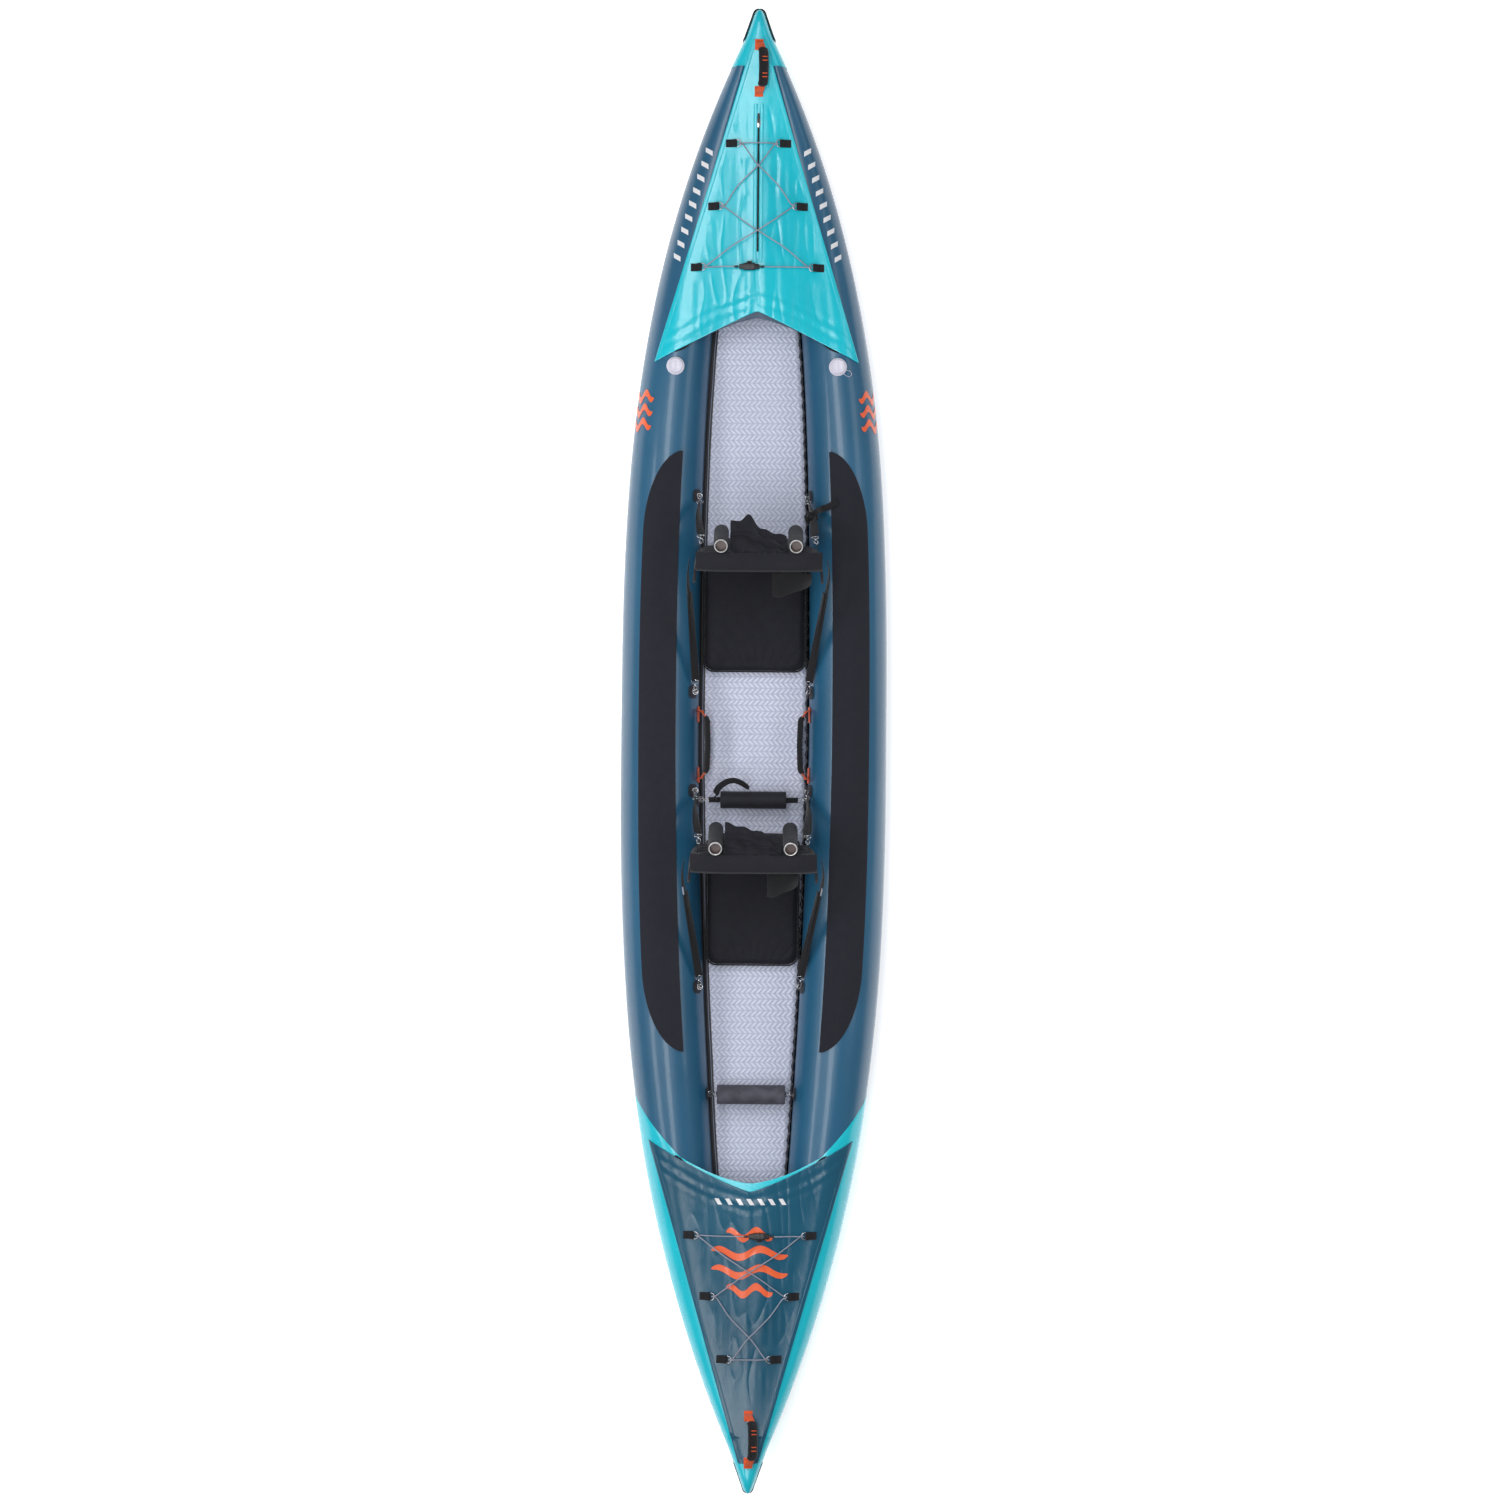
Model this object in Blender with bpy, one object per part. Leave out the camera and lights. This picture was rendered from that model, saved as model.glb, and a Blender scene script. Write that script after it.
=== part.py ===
"""An inflatable two-seat kayak: side tubes, floor, decks, seats, footrests, handles, valves and deck lacing.

Metres, +Z up. The origin is on the ground under the middle of the hull. The bow points along -Y, the
stern along +Y, and +X is the paddlers' left (port).
"""

import math

import bmesh
import bpy
from mathutils import Matrix, Vector

# Hull form
HALF_LENGTH = 2.357
HALF_BEAM = 0.425
STERN_FULLNESS = 3.0  # powers of the two ends' plan curves
BOW_FULLNESS = 2.7
TUBE_SHARE = 0.292  # a side tube's radius over the hull's half width
BOW_TUBE_EXTRA = 0.023  # the tubes are a little fatter before the fore seat
END_SWELL = 0.6  # how far the tubes widen towards each other near the ends
STEM_HALF_HEIGHT = 0.075
ROCKER_START = 0.55  # share of the half length where the keel begins to rise
ROCKER_RISE = 0.12
TUBE_END = 2.18  # the side tubes stop here and the noses begin
NOSE_STATIONS = (TUBE_END + 0.0005, 2.215, 2.255, 2.295, 2.325, 2.340, 2.351, 2.3565)
TIP_RADIUS = 0.018
TIP_SLOPE = 0.37

# Thin layers
SKIN = 0.003
SKIN_GAP = 0.003
CLEAR = 0.0005
TUBE_SIDES = 16
TUBE_STATIONS = 29

# Floor
FLOOR_THICKNESS = 0.10
FLOOR_HALF_LENGTH = 1.55
FLOOR_CORNER = 0.02
FLOOR_SIDE_GAP = 0.004
FLOOR_TOP = SKIN + 0.0015 + FLOOR_THICKNESS

# Decks: each is a long triangle whose rear edge is a shallow V
DECK_PEAK = 1.40
DECK_CORNER = 1.24
DECK_HALF_CORNER = 0.326
DECK_END = 2.26
DECK_TAPER = {"stern": 0.30, "bow": 0.288}
DECK_CAMBER = 0.035
DECK_THICKNESS = 0.0025
DECK_COLUMNS = (0.0, 0.35, 0.62, 0.74, 0.83, 0.92, 1.0)  # closer together over the tubes' crowns
ENDS = {"stern": 1, "bow": -1}

# Lacing on each deck
LACING_ROWS = {"a": 1.54, "b": 1.735, "c": 1.935}
RING_X_AT_A = 0.175
RING_X_TAPER = 0.275
RING_RADIUS = 0.0115
RING_WIRE = 0.0016
RING_LIFT = 0.009
TAB_SIZE = (0.030, 0.026, 0.005)
TAB_GAP = 0.0025
BUNGEE_RADIUS = 0.002
LACING_SPARE = {"stern": 0.0085, "bow": 0.0}  # the zip's slider runs under the stern lacing
LOCK_SIZE = (0.066, 0.024, 0.014)
LOCK_LIFT = 0.004
LOCK_SHIFT = {"stern": -0.026, "bow": 0.029}
BUTTON_SIZE = (0.016, 0.018, 0.008)
BUTTON_OUT = 0.006
BUTTON_PLAY = 0.0006
POCKET_SPARE = 0.005

# Seats: places are counted from a pad's front edge
SEATS = {"aft": 0.254, "fore": -0.686}
SEAT_SHIFT = {"aft": 0.010, "fore": 0.0}
PAD_LENGTH = 0.404
PAD_HALF_WIDTH = {"aft": 0.166, "fore": 0.150}
PAD_THICKNESS = 0.034
HINGE_BACK = 0.410
HINGE_Z = 0.168
BACK_LEAN = math.radians(15)
BACK_HALF_WIDTH = 0.148
BACK_HEIGHT = 0.335
BACK_HALF_THICKNESS = 0.020
WRAP_HALF_WIDTH = 0.212
WRAP_BAND = (0.165, 0.325)
WRAP_THICKNESS = 0.010
WRAP_REACH = 0.075
ROD_X = 0.117
ROD_BEHIND = 0.062
ROD_SPAN = (0.110, 0.338)
ROD_OUTER = 0.0225
ROD_BORE = 0.019
ROD_RIM = 0.0250
ROD_RIM_HEIGHT = 0.007
FRONT_HOOK_BACK = -0.065
REAR_HOOK_BACK = 0.560
STRAP_HALF_WIDTH = 0.0125
STRAP_HALF_THICKNESS = 0.001
HOOK_HALF_WIDTH = 0.008
HOOK_HALF_THICKNESS = 0.004
HOOK_LENGTH = 0.045

# Footrests: place along the hull, height, roller length and radius
FOOTRESTS = {"aft": (-0.155, 0.170, 0.211, 0.0275), "fore": (-1.096, 0.170, 0.218, 0.0310)}
ROLLER_BORE = 0.013
ROLLER_EDGE = 0.004

# Carry handles
HANDLE_LENGTH = 0.172
HANDLE_LEAN = math.radians(25)
HANDLE_RISE = 0.034
GRIP_START = 0.050
GRIP_HALF_WIDTH = 0.0170
GRIP_HALF_THICKNESS = 0.0085
END_HANDLE_Y = {"stern": 2.171, "bow": 2.185}
SIDE_HANDLE_Y = 0.021
SIDE_HANDLE_LENGTH = 0.236
SIDE_HANDLE_ANGLE = math.radians(160)
SIDE_HANDLE_RISE = 0.026
SIDE_HANDLE_HANG = math.radians(105)  # from straight up
BASE_HALF_WIDTH = 0.014
BASE_THICKNESS = 0.002
BASE_GAP = 0.0018

# Chafe pads on the tubes' crowns
CHAFE_END = 0.953
CHAFE_TAPER_FROM = 0.70
CHAFE_INNER = math.radians(115)
CHAFE_OUTER = math.radians(58)
CHAFE_THICKNESS = 0.0015
CHAFE_GAP = 0.0025

# Valves
VALVE_Y = 1.225
VALVE_RADIUS = 0.029
VALVE_STAND = 0.006
CAP_RADIUS = 0.0235
CAP_HEIGHT = 0.008

# Stern zip
ZIP_SPAN = (1.590, 2.030)
ZIP_HALF_WIDTH = 0.009
ZIP_THICKNESS = 0.0012
ZIP_GAP = 0.0010
SLIDER_GAP = 0.0009
SLIDER_SIZE = (0.012, 0.030, 0.0022)
SLIDER_Y = 2.000

COLOURS = {
    "pvc_blue": ((0.025, 0.105, 0.215), 0.35, 0.0),
    "pvc_teal": ((0.045, 0.610, 0.600), 0.25, 0.0),
    "floor_grey": ((0.480, 0.510, 0.620), 0.55, 0.0),
    "hull_black": ((0.030, 0.030, 0.035), 0.55, 0.0),
    "chafe_black": ((0.028, 0.028, 0.040), 0.80, 0.0),
    "webbing_black": ((0.015, 0.015, 0.018), 0.85, 0.0),
    "webbing_orange": ((0.900, 0.130, 0.035), 0.80, 0.0),
    "seat_fabric": ((0.016, 0.016, 0.022), 0.90, 0.0),
    "grip_rubber": ((0.020, 0.020, 0.022), 0.60, 0.0),
    "foam_black": ((0.045, 0.045, 0.055), 0.85, 0.0),
    "foam_grey": ((0.090, 0.090, 0.110), 0.85, 0.0),
    "cord_grey": ((0.150, 0.180, 0.230), 0.70, 0.0),
    "steel": ((0.620, 0.630, 0.640), 0.25, 1.0),
    "plastic_black": ((0.012, 0.012, 0.014), 0.45, 0.0),
    "valve_white": ((0.640, 0.620, 0.720), 0.40, 0.0),
}


# ---------------------------------------------------------------- materials and mesh helpers


def make_material(name):
    colour, roughness, metallic = COLOURS[name]
    material = bpy.data.materials.new(name)
    material.use_nodes = True
    shader = material.node_tree.nodes["Principled BSDF"]
    shader.inputs["Base Color"].default_value = (*colour, 1.0)
    shader.inputs["Roughness"].default_value = roughness
    shader.inputs["Metallic"].default_value = metallic
    material.diffuse_color = (*colour, 1.0)
    return material


def finish_mesh(name, bm, material, pivot=(0, 0, 0), sharp=40):
    """Turns a bmesh in world places into an object whose origin is at the pivot."""
    bmesh.ops.recalc_face_normals(bm, faces=bm.faces)
    bmesh.ops.translate(bm, verts=bm.verts, vec=-Vector(pivot))
    mesh = bpy.data.meshes.new(name)
    bm.to_mesh(mesh)
    bm.free()
    mesh.shade_smooth()
    mesh.set_sharp_from_angle(angle=math.radians(sharp))
    mesh.materials.append(MATERIALS[material])
    piece = bpy.data.objects.new(name, mesh)
    piece.location = pivot
    bpy.context.scene.collection.objects.link(piece)
    return piece


def sheet(name, grid, low, high, material):
    """A closed skin over a grid of (x, y) points, between two heights."""
    bm = bmesh.new()
    upper = [[bm.verts.new((x, y, high(x, y))) for x, y in row] for row in grid]
    lower = [[bm.verts.new((x, y, low(x, y))) for x, y in row] for row in grid]
    for layer in (upper, lower):
        for row, after in zip(layer, layer[1:]):
            for i in range(len(row) - 1):
                bm.faces.new((row[i], row[i + 1], after[i + 1], after[i]))
    rims = (
        (upper[0], lower[0]),
        (upper[-1], lower[-1]),
        ([row[0] for row in upper], [row[0] for row in lower]),
        ([row[-1] for row in upper], [row[-1] for row in lower]),
    )
    for top, bottom in rims:
        for i in range(len(top) - 1):
            bm.faces.new((top[i], top[i + 1], bottom[i + 1], bottom[i]))
    return finish_mesh(name, bm, material)


def skin_rings(bm, rings, loop=False):
    """Faces between rings of points; the ends are filled, or joined to each other when loop is set."""
    made = [[bm.verts.new(point) for point in ring] for ring in rings]
    pairs = list(zip(made, made[1:]))
    if loop:
        pairs.append((made[-1], made[0]))
    for near, far in pairs:
        for i in range(len(near)):
            j = (i + 1) % len(near)
            bm.faces.new((near[i], near[j], far[j], far[i]))
    if not loop:
        bm.faces.new(made[0])
        bm.faces.new(made[-1])


def loft(name, rings, material, pivot=(0, 0, 0), loop=False):
    bm = bmesh.new()
    skin_rings(bm, rings, loop)
    return finish_mesh(name, bm, material, pivot)


def turned_rings(profile, sides, frame):
    """Rings for a closed (radius, height) profile turned round the frame's Z axis."""
    rings = []
    for i in range(sides):
        turn = math.tau * i / sides
        ring = [frame @ Vector((r * math.cos(turn), r * math.sin(turn), h)) for r, h in profile]
        rings.append(ring)
    return rings


def disc_rings(levels, sides, frame):
    """Rings for a solid disc: each level is (radius, height) on the frame's Z axis."""
    turns = [math.tau * i / sides for i in range(sides)]
    return [[frame @ Vector((r * math.cos(t), r * math.sin(t), h)) for t in turns] for r, h in levels]


def slab_rings(outline, low, high, edge, frame):
    """Rings of a flat cushion: an outline in the frame's XY plane, drawn in by edge at both faces."""
    middle = Vector((0.0, 0.0))
    for point in outline:
        middle += Vector(point) / len(outline)
    rings = []
    for height, inset in ((low, edge), (low + edge, 0), (high - edge, 0), (high, edge)):
        ring = []
        for point in outline:
            away = Vector(point) - middle
            point = middle + away * (1 - inset / away.length)
            ring.append(frame @ Vector((point.x, point.y, height)))
        rings.append(ring)
    return rings


def rounded_outline(half_x, y_low, y_high, radius, steps=3):
    """A rectangle with round corners, anticlockwise."""
    centres = (
        (half_x - radius, y_high - radius),
        (radius - half_x, y_high - radius),
        (radius - half_x, y_low + radius),
        (half_x - radius, y_low + radius),
    )
    points = []
    for quarter, (x, y) in enumerate(centres):
        for step in range(steps + 1):
            turn = math.pi / 2 * (quarter + step / steps)
            points.append((x + radius * math.cos(turn), y + radius * math.sin(turn)))
    return points


def sweep_rings(path, first_side, section):
    """Rings along a path. section(share of the length) gives points (across, out) of the outline."""
    rings = []
    side = Vector(first_side).normalized()
    last = len(path) - 1
    for i, point in enumerate(path):
        tangent = (path[min(i + 1, last)] - path[max(i - 1, 0)]).normalized()
        side = (side - tangent * side.dot(tangent)).normalized()
        out = tangent.cross(side)
        rings.append([point + side * a + out * b for a, b in section(i / last)])
    return rings


def smooth_path(points, steps):
    """A Catmull-Rom curve through the points."""
    points = [Vector(p) for p in points]
    ends = [2 * points[0] - points[1], *points, 2 * points[-1] - points[-2]]
    path = []
    for a, b, c, d in zip(ends, ends[1:], ends[2:], ends[3:]):
        for step in range(steps):
            t = step / steps
            path.append(
                0.5 * (2 * b + (c - a) * t + (2 * a - 5 * b + 4 * c - d) * t**2 + (3 * b - a - 3 * c + d) * t**3)
            )
    path.append(points[-1])
    return path


def round_section(radius, sides):
    turns = [math.tau * i / sides for i in range(sides)]
    return [(radius * math.cos(t), radius * math.sin(t)) for t in turns]


def flat_section(half_width, half_thickness):
    return [
        (half_width, half_thickness),
        (-half_width, half_thickness),
        (-half_width, -half_thickness),
        (half_width, -half_thickness),
    ]


def box(name, size, frame, material, pivot=(0, 0, 0), bevel=0.0):
    bm = bmesh.new()
    bmesh.ops.create_cube(bm, size=1, matrix=frame @ Matrix.Diagonal((*size, 1)))
    piece = finish_mesh(name, bm, material, pivot)
    if bevel:
        rounding = piece.modifiers.new("rounding", "BEVEL")
        rounding.width = bevel
        rounding.segments = 2
    return piece


def combine(piece, tool, operation):
    """Joins or cuts one piece with a helper that is not itself part of the model."""
    tool.hide_render = True
    tool.display_type = "WIRE"
    change = piece.modifiers.new(operation.lower(), "BOOLEAN")
    change.operation = operation
    change.object = tool


# ---------------------------------------------------------------- the hull's form


def half_width(y):
    power = STERN_FULLNESS if y > 0 else BOW_FULLNESS
    return HALF_BEAM * (1 - (abs(y) / HALF_LENGTH) ** power)


def keel(y):
    beyond = max(0.0, abs(y) / HALF_LENGTH - ROCKER_START)
    return ROCKER_RISE * (beyond / (1 - ROCKER_START)) ** 2


def tube_at(y):
    """The side tube's centre (x, z) and its half width and half height at a station."""
    share = TUBE_SHARE + BOW_TUBE_EXTRA * min(1.0, max(0.0, -y))
    along = abs(y) / HALF_LENGTH
    half_x = share * half_width(y) * (1 + END_SWELL * along**8)
    half_z = math.hypot(half_x, STEM_HALF_HEIGHT * along**2.5)
    return half_width(y) - half_x, keel(y) + SKIN + SKIN_GAP + half_z, half_x, half_z


def tube_point(side, y, angle, gap=0.0):
    """A point on a side tube: angle 0 is outboard and 90 degrees is the crown."""
    x, z, half_x, half_z = tube_at(y)
    return Vector((side * (x + (half_x + gap) * math.cos(angle)), y, z + (half_z + gap) * math.sin(angle)))


def nose_power(y):
    return 3.2 - 1.0 * (abs(y) - TUBE_END) / (HALF_LENGTH - TUBE_END)


def hull_top(x, y):
    """The height of the tubes' tops, bridged flat between their crowns, or of a nose's top."""
    centre, z, half_x, half_z = tube_at(y)
    if abs(y) > TUBE_END:
        power = nose_power(y)
        share = min(1.0, abs(x) / half_width(y))
        return z + half_z * (1 - share**power) ** (1 / power)
    beyond = max(0.0, (abs(x) - centre) / half_x)
    return z + half_z * math.sqrt(max(0.0, 1 - beyond**2))


def deck_under(x, y):
    centre = tube_at(y)[0]
    fall = 1 - (abs(y) - DECK_CORNER) / (TUBE_END - DECK_CORNER)
    across = min(1.0, abs(x) / centre)
    camber = DECK_CAMBER * min(1.0, max(0.0, fall)) * (1 - across**2) ** 2
    return hull_top(x, y) + SKIN_GAP + camber


def deck_top(x, y):
    return deck_under(x, y) + DECK_THICKNESS


def deck_frame(x, y, lift, inboard=False):
    """A frame standing on a deck: Z is the deck's normal, X is across the hull (or inboard), Y along it."""
    step = 0.004
    slope_x = (deck_top(x + step, y) - deck_top(x - step, y)) / (2 * step)
    slope_y = (deck_top(x, y + step) - deck_top(x, y - step)) / (2 * step)
    normal = Vector((-slope_x, -slope_y, 1)).normalized()
    across = Vector((-math.copysign(1, x) if inboard else 1, 0, 0))
    across = (across - normal * across.dot(normal)).normalized()
    along = normal.cross(across)
    turn = Matrix((across, along, normal)).transposed().to_4x4()
    return Matrix.Translation(Vector((x, y, deck_top(x, y))) + normal * lift) @ turn


def spaced(first, last, count):
    return [first + (last - first) * i / (count - 1) for i in range(count)]


# ---------------------------------------------------------------- hull pieces


def make_side_tube(name, side):
    rings = []
    for y in spaced(-TUBE_END, TUBE_END, TUBE_STATIONS):
        angles = [math.tau * i / TUBE_SIDES for i in range(TUBE_SIDES)]
        rings.append([tube_point(side, y, angle) for angle in angles])
    loft(name, rings, "pvc_blue")


def nose_half_width(y):
    """The half width of a closed end: straight sides that run tangent into the rounded tip."""
    slope = math.atan(TIP_SLOPE)
    tangent_y = HALF_LENGTH - TIP_RADIUS * (1 - math.sin(slope))
    if abs(y) > tangent_y:
        past = abs(y) - (HALF_LENGTH - TIP_RADIUS)
        return math.sqrt(TIP_RADIUS**2 - past**2)
    straight = TIP_RADIUS * math.cos(slope) + TIP_SLOPE * (tangent_y - abs(y))
    return max(half_width(y), straight)


def make_nose(name, sign, material):
    """The closed end of the hull, from the side tubes' ends to the rounded stem."""
    rings = []
    for y in NOSE_STATIONS:
        centre_z, half_z = tube_at(sign * y)[1], tube_at(sign * y)[3]
        half_x = nose_half_width(sign * y)
        rounding = 1 - 0.45 * max(0.0, (y - 2.26) / (HALF_LENGTH - 2.26)) ** 3
        power = 2 / nose_power(y)
        ring = []
        for i in range(TUBE_SIDES):
            c = math.cos(math.tau * i / TUBE_SIDES)
            s = math.sin(math.tau * i / TUBE_SIDES)
            x = half_x * math.copysign(abs(c) ** power, c)
            z = centre_z + half_z * rounding * math.copysign(abs(s) ** power, s)
            ring.append(Vector((x, sign * y, z)))
        rings.append(ring)
    loft(name, rings, material)


def make_floor():
    rings = []
    for y in spaced(-FLOOR_HALF_LENGTH, FLOOR_HALF_LENGTH, 17):
        centre, _, half_x, _ = tube_at(y)
        w = centre - half_x - FLOOR_SIDE_GAP
        low = keel(y) + FLOOR_TOP - FLOOR_THICKNESS
        high = low + FLOOR_THICKNESS
        c = min(FLOOR_CORNER, w / 3)
        side = ((w - c, low), (w, low + c), (w, high - c), (w - c, high))
        outline = [*side, *[(-x, z) for x, z in reversed(side)]]
        rings.append([Vector((x, y, z)) for x, z in outline])
    loft("floor_panel", rings, "floor_grey")


def make_bottom_skin():
    """The hull's bottom: flat under the floor, then up round the tubes' lower shoulders."""
    shoulder = 0.62
    rows = []
    for y in spaced(-2.17, 2.17, 29):
        centre, _, half_x, _ = tube_at(y)
        side = [centre + half_x * share for share in (0, 0.32, shoulder)]
        columns = [0.0, centre / 2, *side]
        rows.append([(x, y) for x in [*[-x for x in reversed(columns[1:])], *columns]])

    def low(x, y):
        centre, z, half_x, half_z = tube_at(y)
        beyond = max(0.0, (abs(x) - centre) / half_x)
        return z - half_z * math.sqrt(1 - beyond**2) - SKIN - SKIN_GAP

    sheet("hull_bottom_skin", rows, low, lambda x, y: low(x, y) + SKIN, "hull_black")


def make_deck(end, material):
    sign = ENDS[end]
    rows = []
    opening_slope = (DECK_PEAK - DECK_CORNER) / DECK_HALF_CORNER
    for t in spaced(0, 1, 11):
        row = []
        for share in [*[-c for c in reversed(DECK_COLUMNS[1:])], *DECK_COLUMNS]:
            start = DECK_PEAK - opening_slope * DECK_HALF_CORNER * abs(share)
            y = start + (DECK_END - start) * t
            edge = DECK_HALF_CORNER - DECK_TAPER[end] * (y - DECK_CORNER)
            row.append((share * edge, sign * y))
        rows.append(row)
    sheet(end + "_deck", rows, deck_under, deck_top, material)


def make_chafe_pad(name, side):
    rows = []
    end_rows = (0.18, 0.36, 0.54, CHAFE_TAPER_FROM, 0.79, 0.85, 0.895, 0.925, 0.945, CHAFE_END)
    for y in [*[-y for y in reversed(end_rows)], 0.0, *end_rows]:
        past = max(0.0, (abs(y) - CHAFE_TAPER_FROM) / (CHAFE_END - CHAFE_TAPER_FROM))
        width = max(0.10, math.sqrt(max(0.0, 1 - past**2)))
        inner = abs(tube_point(1, y, CHAFE_INNER).x)
        outer = abs(tube_point(1, y, CHAFE_OUTER).x)
        rows.append([(side * (inner + (outer - inner) * width * share), y) for share in spaced(0, 1, 5)])

    def low(x, y):
        return hull_top(x, y) + CHAFE_GAP

    sheet(name, rows, low, lambda x, y: low(x, y) + CHAFE_THICKNESS, "chafe_black")


def make_valve(label, side):
    """The welded valve flange and its push-on cap, which opens about its inboard rim."""
    x = side * tube_at(VALVE_Y)[0]
    top = hull_top(x, VALVE_Y) + VALVE_STAND
    turns = [math.tau * i / 20 for i in range(20)]
    bm = bmesh.new()
    rings = []
    for radius, flat in ((0.5, False), (1.0, False), (1.0, True), (0.72, True)):
        ring = []
        for t in turns:
            px = x + VALVE_RADIUS * radius * math.cos(t)
            py = VALVE_Y + VALVE_RADIUS * radius * math.sin(t)
            drop = top - (0.002 if radius == 1.0 else 0.0)
            ring.append(Vector((px, py, drop if flat else hull_top(px, py) + 0.0012)))
        rings.append(ring)
    skin_rings(bm, rings)
    finish_mesh("valve_body_" + label, bm, "valve_white")
    low = top + CLEAR
    hinge = Vector((x - side * CAP_RADIUS, VALVE_Y, low + CAP_HEIGHT / 2))
    levels = ((CAP_RADIUS, low), (CAP_RADIUS, low + CAP_HEIGHT - 0.002), (CAP_RADIUS - 0.003, low + CAP_HEIGHT))
    frame = Matrix.Translation((x, VALVE_Y, 0))
    loft("valve_cap_" + label, disc_rings(levels, 20, frame), "valve_white", hinge)


# ---------------------------------------------------------------- deck lacing


def ring_x(row):
    return RING_X_AT_A - RING_X_TAPER * (LACING_ROWS[row] - LACING_ROWS["a"])


def make_lacing_ring(end, row, side, label):
    """A webbing tab on the deck with a steel ring through its inboard end."""
    name = f"{end}_ring_{row}_{label}"
    x = side * ring_x(row)
    frame = deck_frame(x, ENDS[end] * LACING_ROWS[row], 0, inboard=True)
    wire = []
    for i in range(10):
        turn = math.tau * i / 10
        profile = [
            (RING_RADIUS + RING_WIRE * math.cos(t), RING_LIFT + RING_WIRE * math.sin(t))
            for t in (math.tau * j / 5 for j in range(5))
        ]
        wire.append([frame @ Vector((r * math.cos(turn), r * math.sin(turn), h)) for r, h in profile])
    ring = loft(name, wire, "steel", frame.translation, loop=True)
    length, width, height = TAB_SIZE
    low = TAB_GAP
    high = RING_LIFT + RING_WIRE + 0.001
    reach = RING_RADIUS - 0.003
    outline = ((-reach, low), (-reach, high), (-reach - 0.012, high), (-reach - length, low + height / 3))
    outline = (*outline, (-reach - length, low))
    rings = [[frame @ Vector((px, py, pz)) for px, pz in outline] for py in (-width / 2, width / 2)]
    tab = loft(name + "_tab_helper", rings, "webbing_black", frame.translation)
    combine(ring, tab, "UNION")


def lacing_route(end):
    """The bungee's route as a hand-laid list: rings in turn, with the cord over one bar and back under it."""
    stops = (("a", 1), ("b", -1), ("c", 1), ("c", -1), ("b", 1), ("a", -1))
    sign = ENDS[end]
    over = RING_LIFT + RING_WIRE + BUNGEE_RADIUS + 0.0012
    under = RING_LIFT - RING_WIRE - BUNGEE_RADIUS - 0.0012

    def at(x, y, lift):
        return deck_frame(x, y, lift).translation

    y_a = sign * LACING_ROWS["a"]
    half_lock = LOCK_SIZE[0] / 2 + CLEAR
    cord_lift = LOCK_LIFT + LOCK_SIZE[2] / 2
    start = LOCK_SHIFT[end] + half_lock
    lock_z = deck_top(LOCK_SHIFT[end], y_a) + cord_lift
    straight = (0.0, 0.012, 0.030)
    route = [Vector((start + along, y_a, lock_z)) for along in straight]
    route.append(at((start + ring_x("a")) / 2 + 0.010, y_a, 0.010))
    for i, (row, side) in enumerate(stops):
        x, y = side * ring_x(row), sign * LACING_ROWS[row]
        before = route[-1]
        bar = side * (ring_x(row) - RING_RADIUS)
        come = (before.x - bar, before.y - y)
        lean = 0.006 * come[1] / max(0.01, math.hypot(*come))
        route.append(at(bar - side * 0.008, y + lean * 1.6, over))
        route.append(at(bar, y + lean, over))
        route.append(at(bar + side * 0.0075, y, RING_LIFT))
        if i + 1 == len(stops):
            leave = 0.0
        else:
            next_row, next_side = stops[i + 1]
            leave = sign * LACING_ROWS[next_row] - y
        lean = math.copysign(0.004, leave) if leave else 0.0
        route.append(at(bar, y + lean, under))
        route.append(at(bar - side * 0.008, y + lean * 1.6, under))
        if i + 1 == len(stops):
            continue
        to_x, to_y = next_side * ring_x(next_row), sign * LACING_ROWS[next_row]
        high = (0.0125 if i >= 3 else 0.0075) + LACING_SPARE[end]
        for share in (0.3, 0.5, 0.7):
            px = x + (to_x - x) * share
            py = y + (to_y - y) * share
            route.append(at(px, py, high))
    end_x = LOCK_SHIFT[end] - half_lock
    route.append(at((end_x - ring_x("a")) / 2 - 0.010, y_a, 0.009))
    return [*route, *[Vector((end_x - along, y_a, lock_z)) for along in reversed(straight)]]


def make_bungee(end):
    path = smooth_path(lacing_route(end), 2)
    rings = sweep_rings(path, (0, 1, 0), lambda share: round_section(BUNGEE_RADIUS, 6))
    loft(end + "_bungee", rings, "cord_grey")


def make_cord_lock(end):
    """The lock that the bungee's two ends pass into, and its sprung button."""
    x, y = LOCK_SHIFT[end], ENDS[end] * LACING_ROWS["a"]
    middle = Vector((x, y, deck_top(x, y) + LOCK_LIFT + LOCK_SIZE[2] / 2))
    body = box(end + "_cord_lock", LOCK_SIZE, Matrix.Translation(middle), "plastic_black")
    wide, deep, tall = BUTTON_SIZE
    sign = ENDS[end]
    face = y + sign * LOCK_SIZE[1] / 2
    button_middle = Vector((x, face + sign * (BUTTON_OUT - deep / 2), middle.z))
    box(end + "_lock_button", BUTTON_SIZE, Matrix.Translation(button_middle), "plastic_black", button_middle)
    pocket_size = (wide + 2 * BUTTON_PLAY, deep - BUTTON_OUT + POCKET_SPARE + 0.01, tall + 2 * BUTTON_PLAY)
    pocket_middle = Vector((x, face - sign * (pocket_size[1] / 2 - 0.01), middle.z))
    pocket = box(end + "_pocket_helper", pocket_size, Matrix.Translation(pocket_middle), "plastic_black")
    combine(body, pocket, "DIFFERENCE")


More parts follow.
